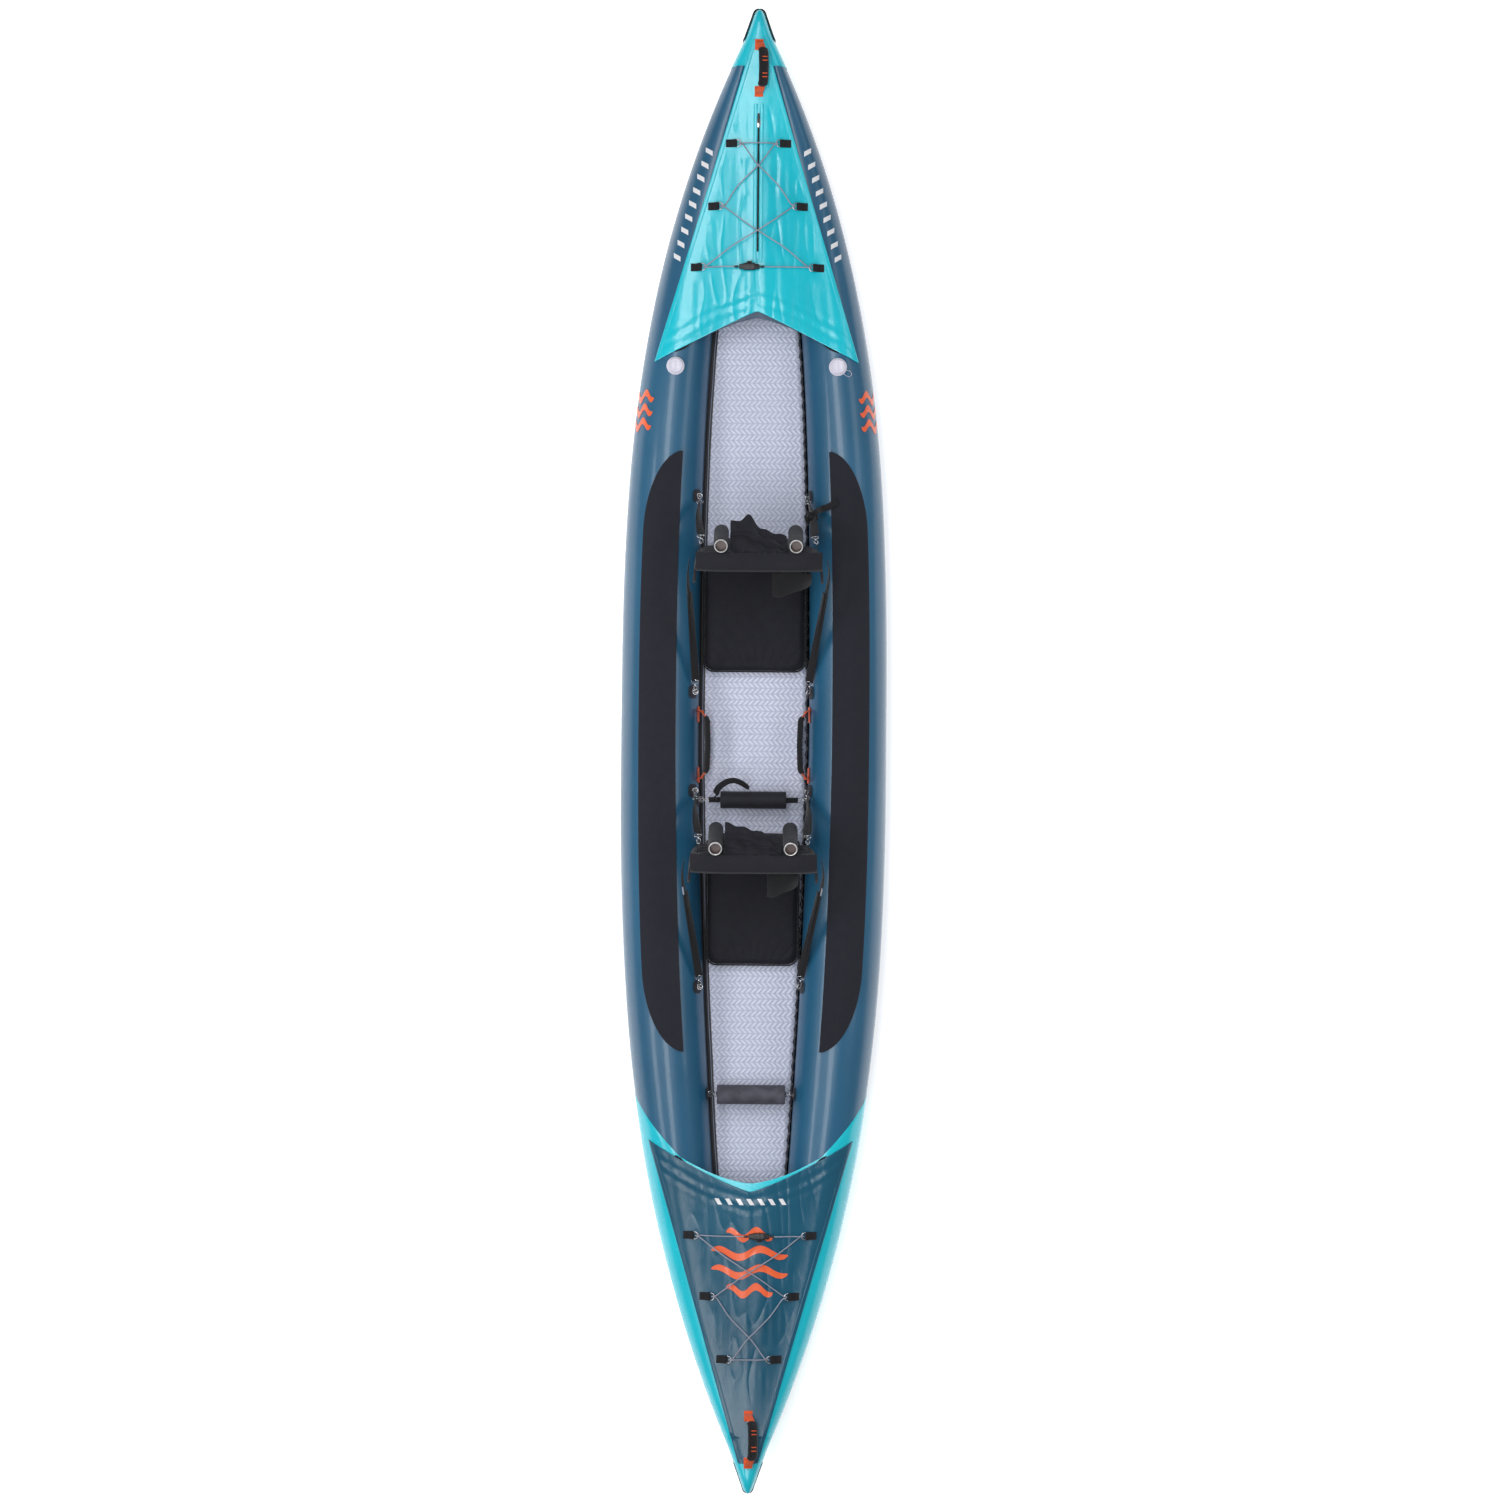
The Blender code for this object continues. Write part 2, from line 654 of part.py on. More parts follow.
def make_zip():
    rows = [[(x, y) for x in (-ZIP_HALF_WIDTH, 0, ZIP_HALF_WIDTH)] for y in spaced(*ZIP_SPAN, 9)]

    def low(x, y):
        return deck_top(x, y) + ZIP_GAP

    sheet("stern_zip_tape", rows, low, lambda x, y: low(x, y) + ZIP_THICKNESS, "webbing_black")
    frame = deck_frame(0.0, SLIDER_Y, ZIP_GAP + ZIP_THICKNESS + SLIDER_GAP + SLIDER_SIZE[2] / 2)
    box("stern_zip_slider", SLIDER_SIZE, frame, "plastic_black", frame.translation)


# ---------------------------------------------------------------- carry handles


def bail(name, frame, length, rise):
    """A webbing bail with a thick grip in its middle: it turns about the frame's Y axis."""
    half = length / 2
    shape = ((0.010, 0.004), (0.022, rise * 0.55), (0.040, rise * 0.95), (0.056, rise))
    along = [*[(in_by - half, z) for in_by, z in shape], (0.0, rise + 0.002)]
    along += [(half - in_by, z) for in_by, z in reversed(shape)]
    path = smooth_path([(0, y, z) for y, z in along], 2)
    rings = []
    for point, ring in zip(path, sweep_rings(path, (1, 0, 0), lambda share: round_section(1.0, 10))):
        in_by = half - abs(point.y)
        widening = min(1.0, max(0.0, (in_by - 0.010) / 0.014))
        across, out = 0.003 + (STRAP_HALF_WIDTH - 0.003) * widening, 0.0018
        if in_by > GRIP_START:
            across, out = GRIP_HALF_WIDTH, GRIP_HALF_THICKNESS
        shaped = []
        for v in ring:
            away = v - point
            shaped.append(frame @ (point + Vector((away.x * across, away.y * out, away.z * out))))
        rings.append(shaped)
    return loft(name, rings, "grip_rubber", frame.translation)


def make_end_handle(end):
    """The bow or stern carry handle: a webbing base on the deck, and a bail that swings over it."""
    sign = ENDS[end]
    y = sign * END_HANDLE_Y[end]
    half = HANDLE_LENGTH / 2
    rows = [[(x, py) for x in (-BASE_HALF_WIDTH, 0, BASE_HALF_WIDTH)] for py in spaced(y - half, y + half, 7)]

    def low(x, py):
        return deck_top(x, py) + BASE_GAP

    sheet(end + "_handle_base", rows, low, lambda x, py: low(x, py) + BASE_THICKNESS, "webbing_orange")
    slope = (deck_top(0, y + half) - deck_top(0, y - half)) / HANDLE_LENGTH
    tilt = Matrix.Rotation(math.atan(slope), 4, "X")
    lean = Matrix.Rotation(HANDLE_LEAN, 4, "Y")
    lift = max(deck_top(0, y - half), deck_top(0, y), deck_top(0, y + half)) - deck_top(0, y)
    place = Matrix.Translation((0, y, deck_top(0, y) + 0.0075 + lift))
    bail(end + "_handle_grip", place @ tilt @ lean, HANDLE_LENGTH, HANDLE_RISE)


def make_side_handle(label, side):
    """A side carry handle on a tube's inner flank: its bail points inboard and droops a little."""
    half = SIDE_HANDLE_LENGTH / 2
    rings = []
    for y in spaced(SIDE_HANDLE_Y - half, SIDE_HANDLE_Y + half, 5):
        ring = []
        for angle, gap in ((-7, 0.003), (7, 0.003), (7, 0.005), (-7, 0.005)):
            ring.append(tube_point(side, y, SIDE_HANDLE_ANGLE + math.radians(angle), gap))
        rings.append(ring)
    loft(label + "_handle_base", rings, "webbing_orange")
    pivot = tube_point(side, SIDE_HANDLE_Y, SIDE_HANDLE_ANGLE, 0.011)
    hang = Matrix.Rotation(-side * SIDE_HANDLE_HANG, 4, "Y")
    bail(label + "_handle_grip", Matrix.Translation(pivot) @ hang, SIDE_HANDLE_LENGTH, SIDE_HANDLE_RISE)


# ---------------------------------------------------------------- seats and footrests


def seat_frame(seat):
    """The seat back's frame on its hinge: X across, Y up the back, Z out of its front."""
    hinge = Vector((SEAT_SHIFT[seat], SEATS[seat] + HINGE_BACK, HINGE_Z))
    up = Vector((0, -math.sin(BACK_LEAN), math.cos(BACK_LEAN)))
    front = Vector((0, -math.cos(BACK_LEAN), -math.sin(BACK_LEAN)))
    turn = Matrix((Vector((1, 0, 0)), up, front)).transposed().to_4x4()
    return Matrix.Translation(hinge) @ turn


def make_seat_pad(seat):
    front = SEATS[seat]
    outline = rounded_outline(PAD_HALF_WIDTH[seat], front, front + PAD_LENGTH, 0.035)
    low = FLOOR_TOP + 0.001
    rings = slab_rings(outline, low, low + PAD_THICKNESS, 0.010, Matrix.Identity(4))
    loft(seat + "_seat_pad", rings, "seat_fabric")


def make_seat_back(seat):
    frame = seat_frame(seat)
    outline = rounded_outline(BACK_HALF_WIDTH, 0.004, BACK_HEIGHT, 0.040)
    thick = BACK_HALF_THICKNESS
    rings = slab_rings(outline, -thick, thick, 0.010, frame)
    loft(seat + "_seat_back", rings, "seat_fabric", frame.translation)


def wrap_curve():
    """The wrap's centre line across the back: flat behind the panel, its wings bent forward."""
    behind = -BACK_HALF_THICKNESS - 0.003 - WRAP_THICKNESS / 2
    wing = ((0.172, behind + 0.004), (0.196, behind + 0.028), (WRAP_HALF_WIDTH - 0.006, WRAP_REACH))
    half = [(0.0, behind), (0.090, behind), (0.150, behind), *wing]
    return [*[(-x, n) for x, n in reversed(half[1:])], *half]


def make_seat_wrap(seat):
    frame = seat_frame(seat)
    path = smooth_path([(x, n, 0) for x, n in wrap_curve()], 2)
    section = flat_section(0.5, WRAP_THICKNESS / 2)
    rings = []
    middle = (WRAP_BAND[0] + WRAP_BAND[1]) / 2
    height = WRAP_BAND[1] - WRAP_BAND[0]
    for ring, point in zip(sweep_rings(path, (0, 0, 1), lambda share: section), path):
        narrow = 1 - 0.35 * (abs(point.x) / WRAP_HALF_WIDTH) ** 4
        rings.append([frame @ Vector((v.x, middle + v.z * height * narrow, v.y)) for v in ring])
    loft(seat + "_seat_wrap", rings, "seat_fabric", frame.translation)


def make_rod_holder(seat, label, side):
    frame = seat_frame(seat)
    low, high = ROD_SPAN
    profile = (
        (ROD_BORE, low),
        (ROD_OUTER, low),
        (ROD_OUTER, high - ROD_RIM_HEIGHT),
        (ROD_RIM, high - ROD_RIM_HEIGHT),
        (ROD_RIM, high),
        (ROD_BORE, high),
    )
    axis = frame @ Matrix.Translation((side * ROD_X, 0, -ROD_BEHIND)) @ Matrix.Rotation(-math.pi / 2, 4, "X")
    rings = turned_rings(profile, 16, axis)
    loft(f"{seat}_rod_holder_{label}", rings, "valve_white", frame.translation, loop=True)


def make_seat_strap(seat, label, side):
    """The strap from the tube in front of the seat, round the wing's outside, to the tube behind it."""
    frame = seat_frame(seat)
    front = tube_point(side, SEATS[seat] + FRONT_HOOK_BACK, math.radians(148), 0.010)
    rear = tube_point(side, SEATS[seat] + REAR_HOOK_BACK, math.radians(148), 0.010)
    band = (WRAP_BAND[0] + WRAP_BAND[1]) / 2
    clear = WRAP_THICKNESS / 2 + 0.006
    wing_tip = frame @ Vector((side * (WRAP_HALF_WIDTH + clear), band, WRAP_REACH - 0.010))
    wing_root = frame @ Vector((side * (WRAP_HALF_WIDTH + clear - 0.004), band, 0.0))
    corner = frame @ Vector((side * 0.200, band - 0.01, -0.045))
    path = smooth_path([front, front.lerp(wing_tip, 0.14), wing_tip, wing_root, corner, rear.lerp(corner, 0.14), rear], 3)
    total = sum((b - a).length for a, b in zip(path, path[1:]))
    lengths = [0.0]
    for a, b in zip(path, path[1:]):
        lengths.append(lengths[-1] + (b - a).length)
    rings = []
    for length, point, ring in zip(
        lengths, path, sweep_rings(path, (side, 0, 0), lambda share: flat_section(1.0, 1.0))
    ):
        hooked = min(length, total - length) < HOOK_LENGTH
        across = HOOK_HALF_THICKNESS if hooked else STRAP_HALF_THICKNESS
        out = HOOK_HALF_WIDTH if hooked else STRAP_HALF_WIDTH
        side_way = (ring[0] - ring[1]) / 2
        out_way = (ring[0] - ring[3]) / 2
        rings.append([point + side_way * a + out_way * b for a, b in flat_section(across, out)])
    loft(f"{seat}_seat_strap_{label}", rings, "webbing_black")


def make_footrest(place):
    y, z, length, radius = FOOTRESTS[place]
    axis = Matrix.Translation((0, y, z)) @ Matrix.Rotation(math.pi / 2, 4, "Y")
    half = length / 2
    profile = (
        (ROLLER_BORE, -half),
        (radius - ROLLER_EDGE, -half),
        (radius, -half + ROLLER_EDGE),
        (radius, half - ROLLER_EDGE),
        (radius - ROLLER_EDGE, half),
        (ROLLER_BORE, half),
    )
    foam = "foam_black" if place == "aft" else "foam_grey"
    rings = turned_rings(profile, 20, axis)
    loft(place + "_footrest_roller", rings, foam, (0, y, z), loop=True)
    tube_x = abs(tube_point(1, y, math.pi).x)
    ends = tube_x - 0.006
    path = [Vector((ends * share, y, z)) for share in (-1, -0.80, -0.79, 0.79, 0.80, 1)]
    widths = (0.010, 0.010, 0.0090, 0.0090, 0.010, 0.010)
    thicknesses = (0.004, 0.004, 0.0015, 0.0015, 0.004, 0.004)
    rings = []
    for point, wide, thick in zip(path, widths, thicknesses):
        rings.append([point + Vector((0, a, b)) for a, b in flat_section(wide, thick)])
    loft(place + "_footrest_strap", rings, "webbing_black")


# ---------------------------------------------------------------- assembly

for old in list(bpy.data.objects):
    bpy.data.objects.remove(old)

MATERIALS = {name: make_material(name) for name in COLOURS}
SIDES = {"port": 1, "starboard": -1}

make_floor()
make_bottom_skin()
make_zip()
for end_name, end_sign in ENDS.items():
    make_nose(end_name + "_nose", end_sign, "pvc_teal")
    make_deck(end_name, "pvc_teal" if end_name == "stern" else "pvc_blue")
    make_bungee(end_name)
    make_cord_lock(end_name)
    make_end_handle(end_name)
    for row_name in LACING_ROWS:
        for side_name, side_sign in SIDES.items():
            make_lacing_ring(end_name, row_name, side_sign, side_name)
for side_name, side_sign in SIDES.items():
    make_side_tube("tube_" + side_name, side_sign)
    make_chafe_pad("chafe_pad_" + side_name, side_sign)
    make_valve(side_name, side_sign)
    make_side_handle(side_name, side_sign)
for seat_name in SEATS:
    make_seat_pad(seat_name)
    make_seat_back(seat_name)
    make_seat_wrap(seat_name)
    make_footrest(seat_name)
    for side_name, side_sign in SIDES.items():
        make_rod_holder(seat_name, side_name, side_sign)
        make_seat_strap(seat_name, side_name, side_sign)
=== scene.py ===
"""The looks of the inflatable two-seat kayak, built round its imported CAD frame.

Metres, +Z up; the bow points along -Y, and +X is port. The hull's form repeats the CAD's own formulas, so
every piece here lies where its CAD solid lies.
"""

import math

import bmesh
import bpy
from mathutils import Matrix, Vector, noise


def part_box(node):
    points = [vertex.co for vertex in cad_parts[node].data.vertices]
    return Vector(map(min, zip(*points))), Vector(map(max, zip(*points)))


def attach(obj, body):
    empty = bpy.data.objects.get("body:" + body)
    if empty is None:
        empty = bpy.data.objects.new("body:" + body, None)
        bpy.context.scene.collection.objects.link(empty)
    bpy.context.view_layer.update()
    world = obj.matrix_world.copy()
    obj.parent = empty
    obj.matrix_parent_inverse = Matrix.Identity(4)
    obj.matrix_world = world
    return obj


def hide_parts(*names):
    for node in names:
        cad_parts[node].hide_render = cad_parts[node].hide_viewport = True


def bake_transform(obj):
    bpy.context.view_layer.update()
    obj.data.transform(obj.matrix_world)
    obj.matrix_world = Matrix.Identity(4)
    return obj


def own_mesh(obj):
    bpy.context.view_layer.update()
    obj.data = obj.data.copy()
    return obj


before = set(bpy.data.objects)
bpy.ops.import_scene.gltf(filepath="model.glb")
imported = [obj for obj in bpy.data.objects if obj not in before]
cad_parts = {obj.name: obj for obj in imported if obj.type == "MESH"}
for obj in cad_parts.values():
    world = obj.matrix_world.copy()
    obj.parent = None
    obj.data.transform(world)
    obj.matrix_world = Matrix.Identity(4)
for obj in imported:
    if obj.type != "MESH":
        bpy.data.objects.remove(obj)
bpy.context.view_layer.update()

ENDS = {"stern": 1, "bow": -1}
SIDES = {"port": 1, "starboard": -1}

# Hull form, as in the CAD
HALF_LENGTH = 2.357
HALF_BEAM = 0.425
STERN_FULLNESS = 3.0
BOW_FULLNESS = 2.7
TUBE_SHARE = 0.292
BOW_TUBE_EXTRA = 0.023
END_SWELL = 0.6
STEM_HALF_HEIGHT = 0.075
ROCKER_START = 0.55
ROCKER_RISE = 0.12
TUBE_END = 2.18
TIP_RADIUS = 0.018
TIP_SLOPE = 0.37
SKIN = 0.003
SKIN_GAP = 0.003
FLOOR_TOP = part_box("floor_panel")[1][2]
FLOOR_HALF_LENGTH = 1.55

# Decks
DECK_PEAK = 1.40
DECK_CORNER = 1.24
DECK_HALF_CORNER = 0.326
DECK_END = 2.26
DECK_TAPER = {"stern": 0.30, "bow": 0.288}
DECK_CAMBER = 0.035
DECK_THICKNESS = 0.0025
OPENING_SLOPE = (DECK_PEAK - DECK_CORNER) / DECK_HALF_CORNER
OPENING_BULGE = {"stern": 0.008, "bow": 0.018}

# Deck lacing
LACING_ROWS = {"a": 1.54, "b": 1.735, "c": 1.935}
RING_X_AT_A = 0.175
RING_X_TAPER = 0.275
RING_RADIUS = 0.0115
RING_WIRE = 0.0016
RING_LIFT = 0.009
BUNGEE_RADIUS = 0.002
LACING_SPARE = {"stern": 0.0085, "bow": 0.0}
LOCK_SIZE = (0.066, 0.024, 0.014)
LOCK_LIFT = 0.004
LOCK_SHIFT = {"stern": -0.026, "bow": 0.029}

# Carry handles
HANDLE_LENGTH = 0.172
HANDLE_LEAN = math.radians(25)
HANDLE_RISE = 0.034
END_HANDLE_Y = {"stern": 2.171, "bow": 2.185}
SIDE_HANDLE_Y = 0.021
SIDE_HANDLE_LENGTH = 0.236
SIDE_HANDLE_ANGLE = math.radians(160)
SIDE_HANDLE_RISE = 0.026
SIDE_HANDLE_HANG = math.radians(105)
BAIL_HALF_WIDTH = 0.0124
PATCH_HALF_WIDTH = 0.0135
LEG_REACH = 0.020
GRIP_START = 0.027
HANDLE_CLEAR = 0.0075
FOOT_IN = 0.008

# Seats and footrests
SEATS = {"aft": 0.254, "fore": -0.686}
SEAT_SHIFT = {"aft": 0.010, "fore": 0.0}
PAD_LENGTH = 0.404
PAD_HALF_WIDTH = {"aft": 0.166, "fore": 0.150}
PAD_THICKNESS = 0.034
HINGE_BACK = 0.410
HINGE_Z = 0.168
BACK_LEAN = math.radians(15)
BACK_HALF_WIDTH = 0.148
BACK_HEIGHT = 0.335
BACK_HALF_THICKNESS = 0.020
WRAP_HALF_WIDTH = 0.212
WRAP_BAND = (0.165, 0.325)
WRAP_REACH = 0.075
FRONT_HOOK_BACK = -0.065
REAR_HOOK_BACK = 0.560
HOOK_CORNER_X = {"aft": 0.180, "fore": 0.170}
BOLSTER_WIDTH = {"aft": 0.122, "fore": 0.098}
ROD_X = 0.117
ROD_BEHIND = 0.062
ROD_SPAN = (0.110, 0.338)
ROD_SLEEVE = 0.0232
ROD_RIM = 0.0206
FOOTRESTS = {"aft": (-0.155, 0.170, 0.211, 0.0275), "fore": (-1.096, 0.170, 0.218, 0.0310)}

# Chafe pads and valves
CHAFE_END = 0.953
CHAFE_TAPER_FROM = 0.70
CHAFE_INNER = math.radians(115)
CHAFE_OUTER = math.radians(58)
CHAFE_GAP = 0.0025
VALVE_Y = 1.225

# The camera looks straight down from far off, turned by the hull's slight turn in the picture
VIEW_WIDTH = 4.8
VIEW_HEIGHT = 12.0
VIEW_LEVEL = 0.15
VIEW_TURN = 0.0080
VIEW_CENTRE = (-0.0116, 0.0048)


# ---------------------------------------------------------------- small sums


def spaced(first, last, count):
    return [first + (last - first) * i / (count - 1) for i in range(count)]


def ease(t):
    t = min(1.0, max(0.0, t))
    return t * t * (3 - 2 * t)


def hump(away, reach):
    """1 at no distance, falling smoothly to 0 at reach."""
    return ease(1 - abs(away) / reach)


def rough(x, y, z=0.0):
    """Smooth noise from -1 to 1."""
    return noise.noise(Vector((x, y, z)))


# ---------------------------------------------------------------- the hull's form, as in the CAD


def half_width(y):
    power = STERN_FULLNESS if y > 0 else BOW_FULLNESS
    return HALF_BEAM * (1 - (abs(y) / HALF_LENGTH) ** power)


def keel(y):
    beyond = max(0.0, abs(y) / HALF_LENGTH - ROCKER_START)
    return ROCKER_RISE * (beyond / (1 - ROCKER_START)) ** 2


def tube_at(y):
    """The side tube's centre (x, z) and its half width and half height at a station."""
    share = TUBE_SHARE + BOW_TUBE_EXTRA * min(1.0, max(0.0, -y))
    along = abs(y) / HALF_LENGTH
    half_x = share * half_width(y) * (1 + END_SWELL * along**8)
    half_z = math.hypot(half_x, STEM_HALF_HEIGHT * along**2.5)
    return half_width(y) - half_x, keel(y) + SKIN + SKIN_GAP + half_z, half_x, half_z


def tube_point(side, y, angle, gap=0.0):
    """A point on a side tube: angle 0 is outboard and 90 degrees is the crown."""
    x, z, half_x, half_z = tube_at(y)
    return Vector((side * (x + (half_x + gap) * math.cos(angle)), y, z + (half_z + gap) * math.sin(angle)))


def nose_power(y):
    return 3.2 - 1.0 * (abs(y) - TUBE_END) / (HALF_LENGTH - TUBE_END)


def hull_top(x, y):
    """The height of the tubes' tops, bridged flat between their crowns, or of a nose's top."""
    centre, z, half_x, half_z = tube_at(y)
    if abs(y) > TUBE_END:
        power = nose_power(y)
        share = min(1.0, abs(x) / half_width(y))
        return z + half_z * (1 - share**power) ** (1 / power)
    beyond = max(0.0, (abs(x) - centre) / half_x)
    return z + half_z * math.sqrt(max(0.0, 1 - beyond**2))


def deck_top(x, y):
    centre = tube_at(y)[0]
    fall = 1 - (abs(y) - DECK_CORNER) / (TUBE_END - DECK_CORNER)
    across = min(1.0, abs(x) / centre)
    camber = DECK_CAMBER * min(1.0, max(0.0, fall)) * (1 - across**2) ** 2
    return hull_top(x, y) + SKIN_GAP + camber + DECK_THICKNESS


def deck_edge(end, y):
    return DECK_HALF_CORNER - DECK_TAPER[end] * (abs(y) - DECK_CORNER)


def opening_edge(end, x):
    """How far from the middle a deck's rear edge lies: an arch with a shallow notch in its middle."""
    across = min(1.0, abs(x) / DECK_HALF_CORNER)
    return DECK_PEAK - OPENING_SLOPE * math.hypot(x, 0.006) + OPENING_BULGE[end] * math.sin(math.pi * across)


def deck_frame(x, y, lift, inboard=False):
    """A frame standing on a deck: Z is the deck's normal, X is across the hull (or inboard), Y along it."""
    step = 0.004
    slope_x = (deck_top(x + step, y) - deck_top(x - step, y)) / (2 * step)
    slope_y = (deck_top(x, y + step) - deck_top(x, y - step)) / (2 * step)
    normal = Vector((-slope_x, -slope_y, 1)).normalized()
    across = Vector((-math.copysign(1, x) if inboard else 1, 0, 0))
    across = (across - normal * across.dot(normal)).normalized()
    turn = Matrix((across, normal.cross(across), normal)).transposed().to_4x4()
    return Matrix.Translation(Vector((x, y, deck_top(x, y))) + normal * lift) @ turn


def seat_frame(seat):
    """The seat back's frame on its hinge: X across, Y up the back, Z out of its front."""
    hinge = Vector((SEAT_SHIFT[seat], SEATS[seat] + HINGE_BACK, HINGE_Z))
    up = Vector((0, -math.sin(BACK_LEAN), math.cos(BACK_LEAN)))
    front = Vector((0, -math.cos(BACK_LEAN), -math.sin(BACK_LEAN)))
    return Matrix.Translation(hinge) @ Matrix((Vector((1, 0, 0)), up, front)).transposed().to_4x4()


# ---------------------------------------------------------------- materials


class Look:
    """A Principled material, with short ways to add and join nodes."""

    def __init__(self, name, colour, roughness, **sockets):
        self.material = bpy.data.materials.new(name)
        self.material.use_nodes = True
        self.tree = self.material.node_tree
        self.shader = self.tree.nodes["Principled BSDF"]
        self.set(self.shader, {"Base Color": (*colour, 1.0), "Roughness": roughness})
        for socket, value in sockets.items():
            self.shader.inputs[socket.replace("_", " ")].default_value = value

    def set(self, node, inputs):
        for key, value in inputs.items():
            if isinstance(value, bpy.types.NodeSocket):
                self.tree.links.new(value, node.inputs[key])
            else:
                node.inputs[key].default_value = value

    def node(self, kind, inputs, **settings):
        made = self.tree.nodes.new("ShaderNode" + kind)
        for key, value in settings.items():
            setattr(made, key, value)
        self.set(made, inputs)
        return made

    def place(self, stretch=(1, 1, 1), kind="Object"):
        """Where a point is, in the piece's own metres, stretched."""
        source = self.node("TexCoord", {})
        return self.node("Mapping", {"Vector": source.outputs[kind], "Scale": stretch}).outputs[0]

    def split(self, place):
        return self.node("SeparateXYZ", {0: place}).outputs

    def maths(self, operation, a, b=0.0, c=0.0):
        return self.node("Math", {0: a, 1: b, 2: c}, operation=operation).outputs[0]

    def cloud(self, place, scale, detail=3.0):
        return self.node("TexNoise", {"Vector": place, "Scale": scale, "Detail": detail}).outputs[0]

    def bands(self, place, scale, direction, **settings):
        texture = self.node(
            "TexWave", {"Vector": place, "Scale": scale, "Distortion": settings.get("distortion", 0.0)}
        )
        texture.bands_direction = direction
        return texture.outputs["Fac"]

    def ramp(self, amount, low, high, start=0.0, end=1.0):
        """Grey or coloured values from low to high as amount goes from start to end."""
        made = self.node("ValToRGB", {0: amount})
        made.color_ramp.elements[0].position = start
        made.color_ramp.elements[1].position = end
        for element, value in zip(made.color_ramp.elements, (low, high)):
            element.color = (*value, 1.0) if hasattr(value, "__len__") else (value, value, value, 1.0)
        return made.outputs[0]

    def mix(self, share, a, b):
        made = self.node("Mix", {0: share}, data_type="RGBA")
        self.set(
            made, {6: (*a, 1.0) if isinstance(a, tuple) else a, 7: (*b, 1.0) if isinstance(b, tuple) else b}
        )
        return made.outputs[2]

    def colour(self, socket):
        self.set(self.shader, {"Base Color": socket})

    def roughness(self, amount, low, high):
        spread = self.node("MapRange", {0: amount, 3: low, 4: high})
        self.set(self.shader, {"Roughness": spread.outputs[0]})

    def bump(self, height, depth, strength=1.0):
        """Adds relief of that depth in metres, on top of any relief given before."""
        made = self.node("Bump", {"Height": height, "Distance": depth, "Strength": strength})
        before = self.shader.inputs["Normal"].links
        if before:
            self.set(made, {"Normal": before[0].from_socket})
        self.set(self.shader, {"Normal": made.outputs[0]})

    def weave(self, place, pitch, depth, directions="XY"):
        """Crossed threads of that pitch."""
        scale = 1 / (pitch * 6.2832) * 3.1416
        warp = self.bands(place, scale, directions[0])
        weft = self.bands(place, scale, directions[1])
        cloth = self.maths("MULTIPLY", warp, weft)
        self.bump(cloth, depth)
        return cloth


def coated_fabric(name, colour, deep, roughness, coat, wear=0.03):
    """PVC-coated fabric: a faint scrim under a smooth skin, with soft ripples and uneven gloss."""
    look = Look(name, colour, roughness, Coat_Weight=coat, Coat_Roughness=0.12, Specular_IOR_Level=0.5)
    place = look.place()
    tone = look.cloud(place, 2.3, 4.0)
    fine = look.cloud(place, 60.0, 2.0)
    look.colour(look.mix(look.ramp(tone, 0.0, 1.0, 0.35, 0.7), deep, colour))
    look.roughness(fine, roughness - wear, roughness + wear * 2)
    look.weave(place, 0.0011, 0.00004)
    look.bump(look.cloud(place, 9.0, 2.0), 0.0016, 0.5)
    look.bump(fine, 0.00022, 0.35)
    return look.material


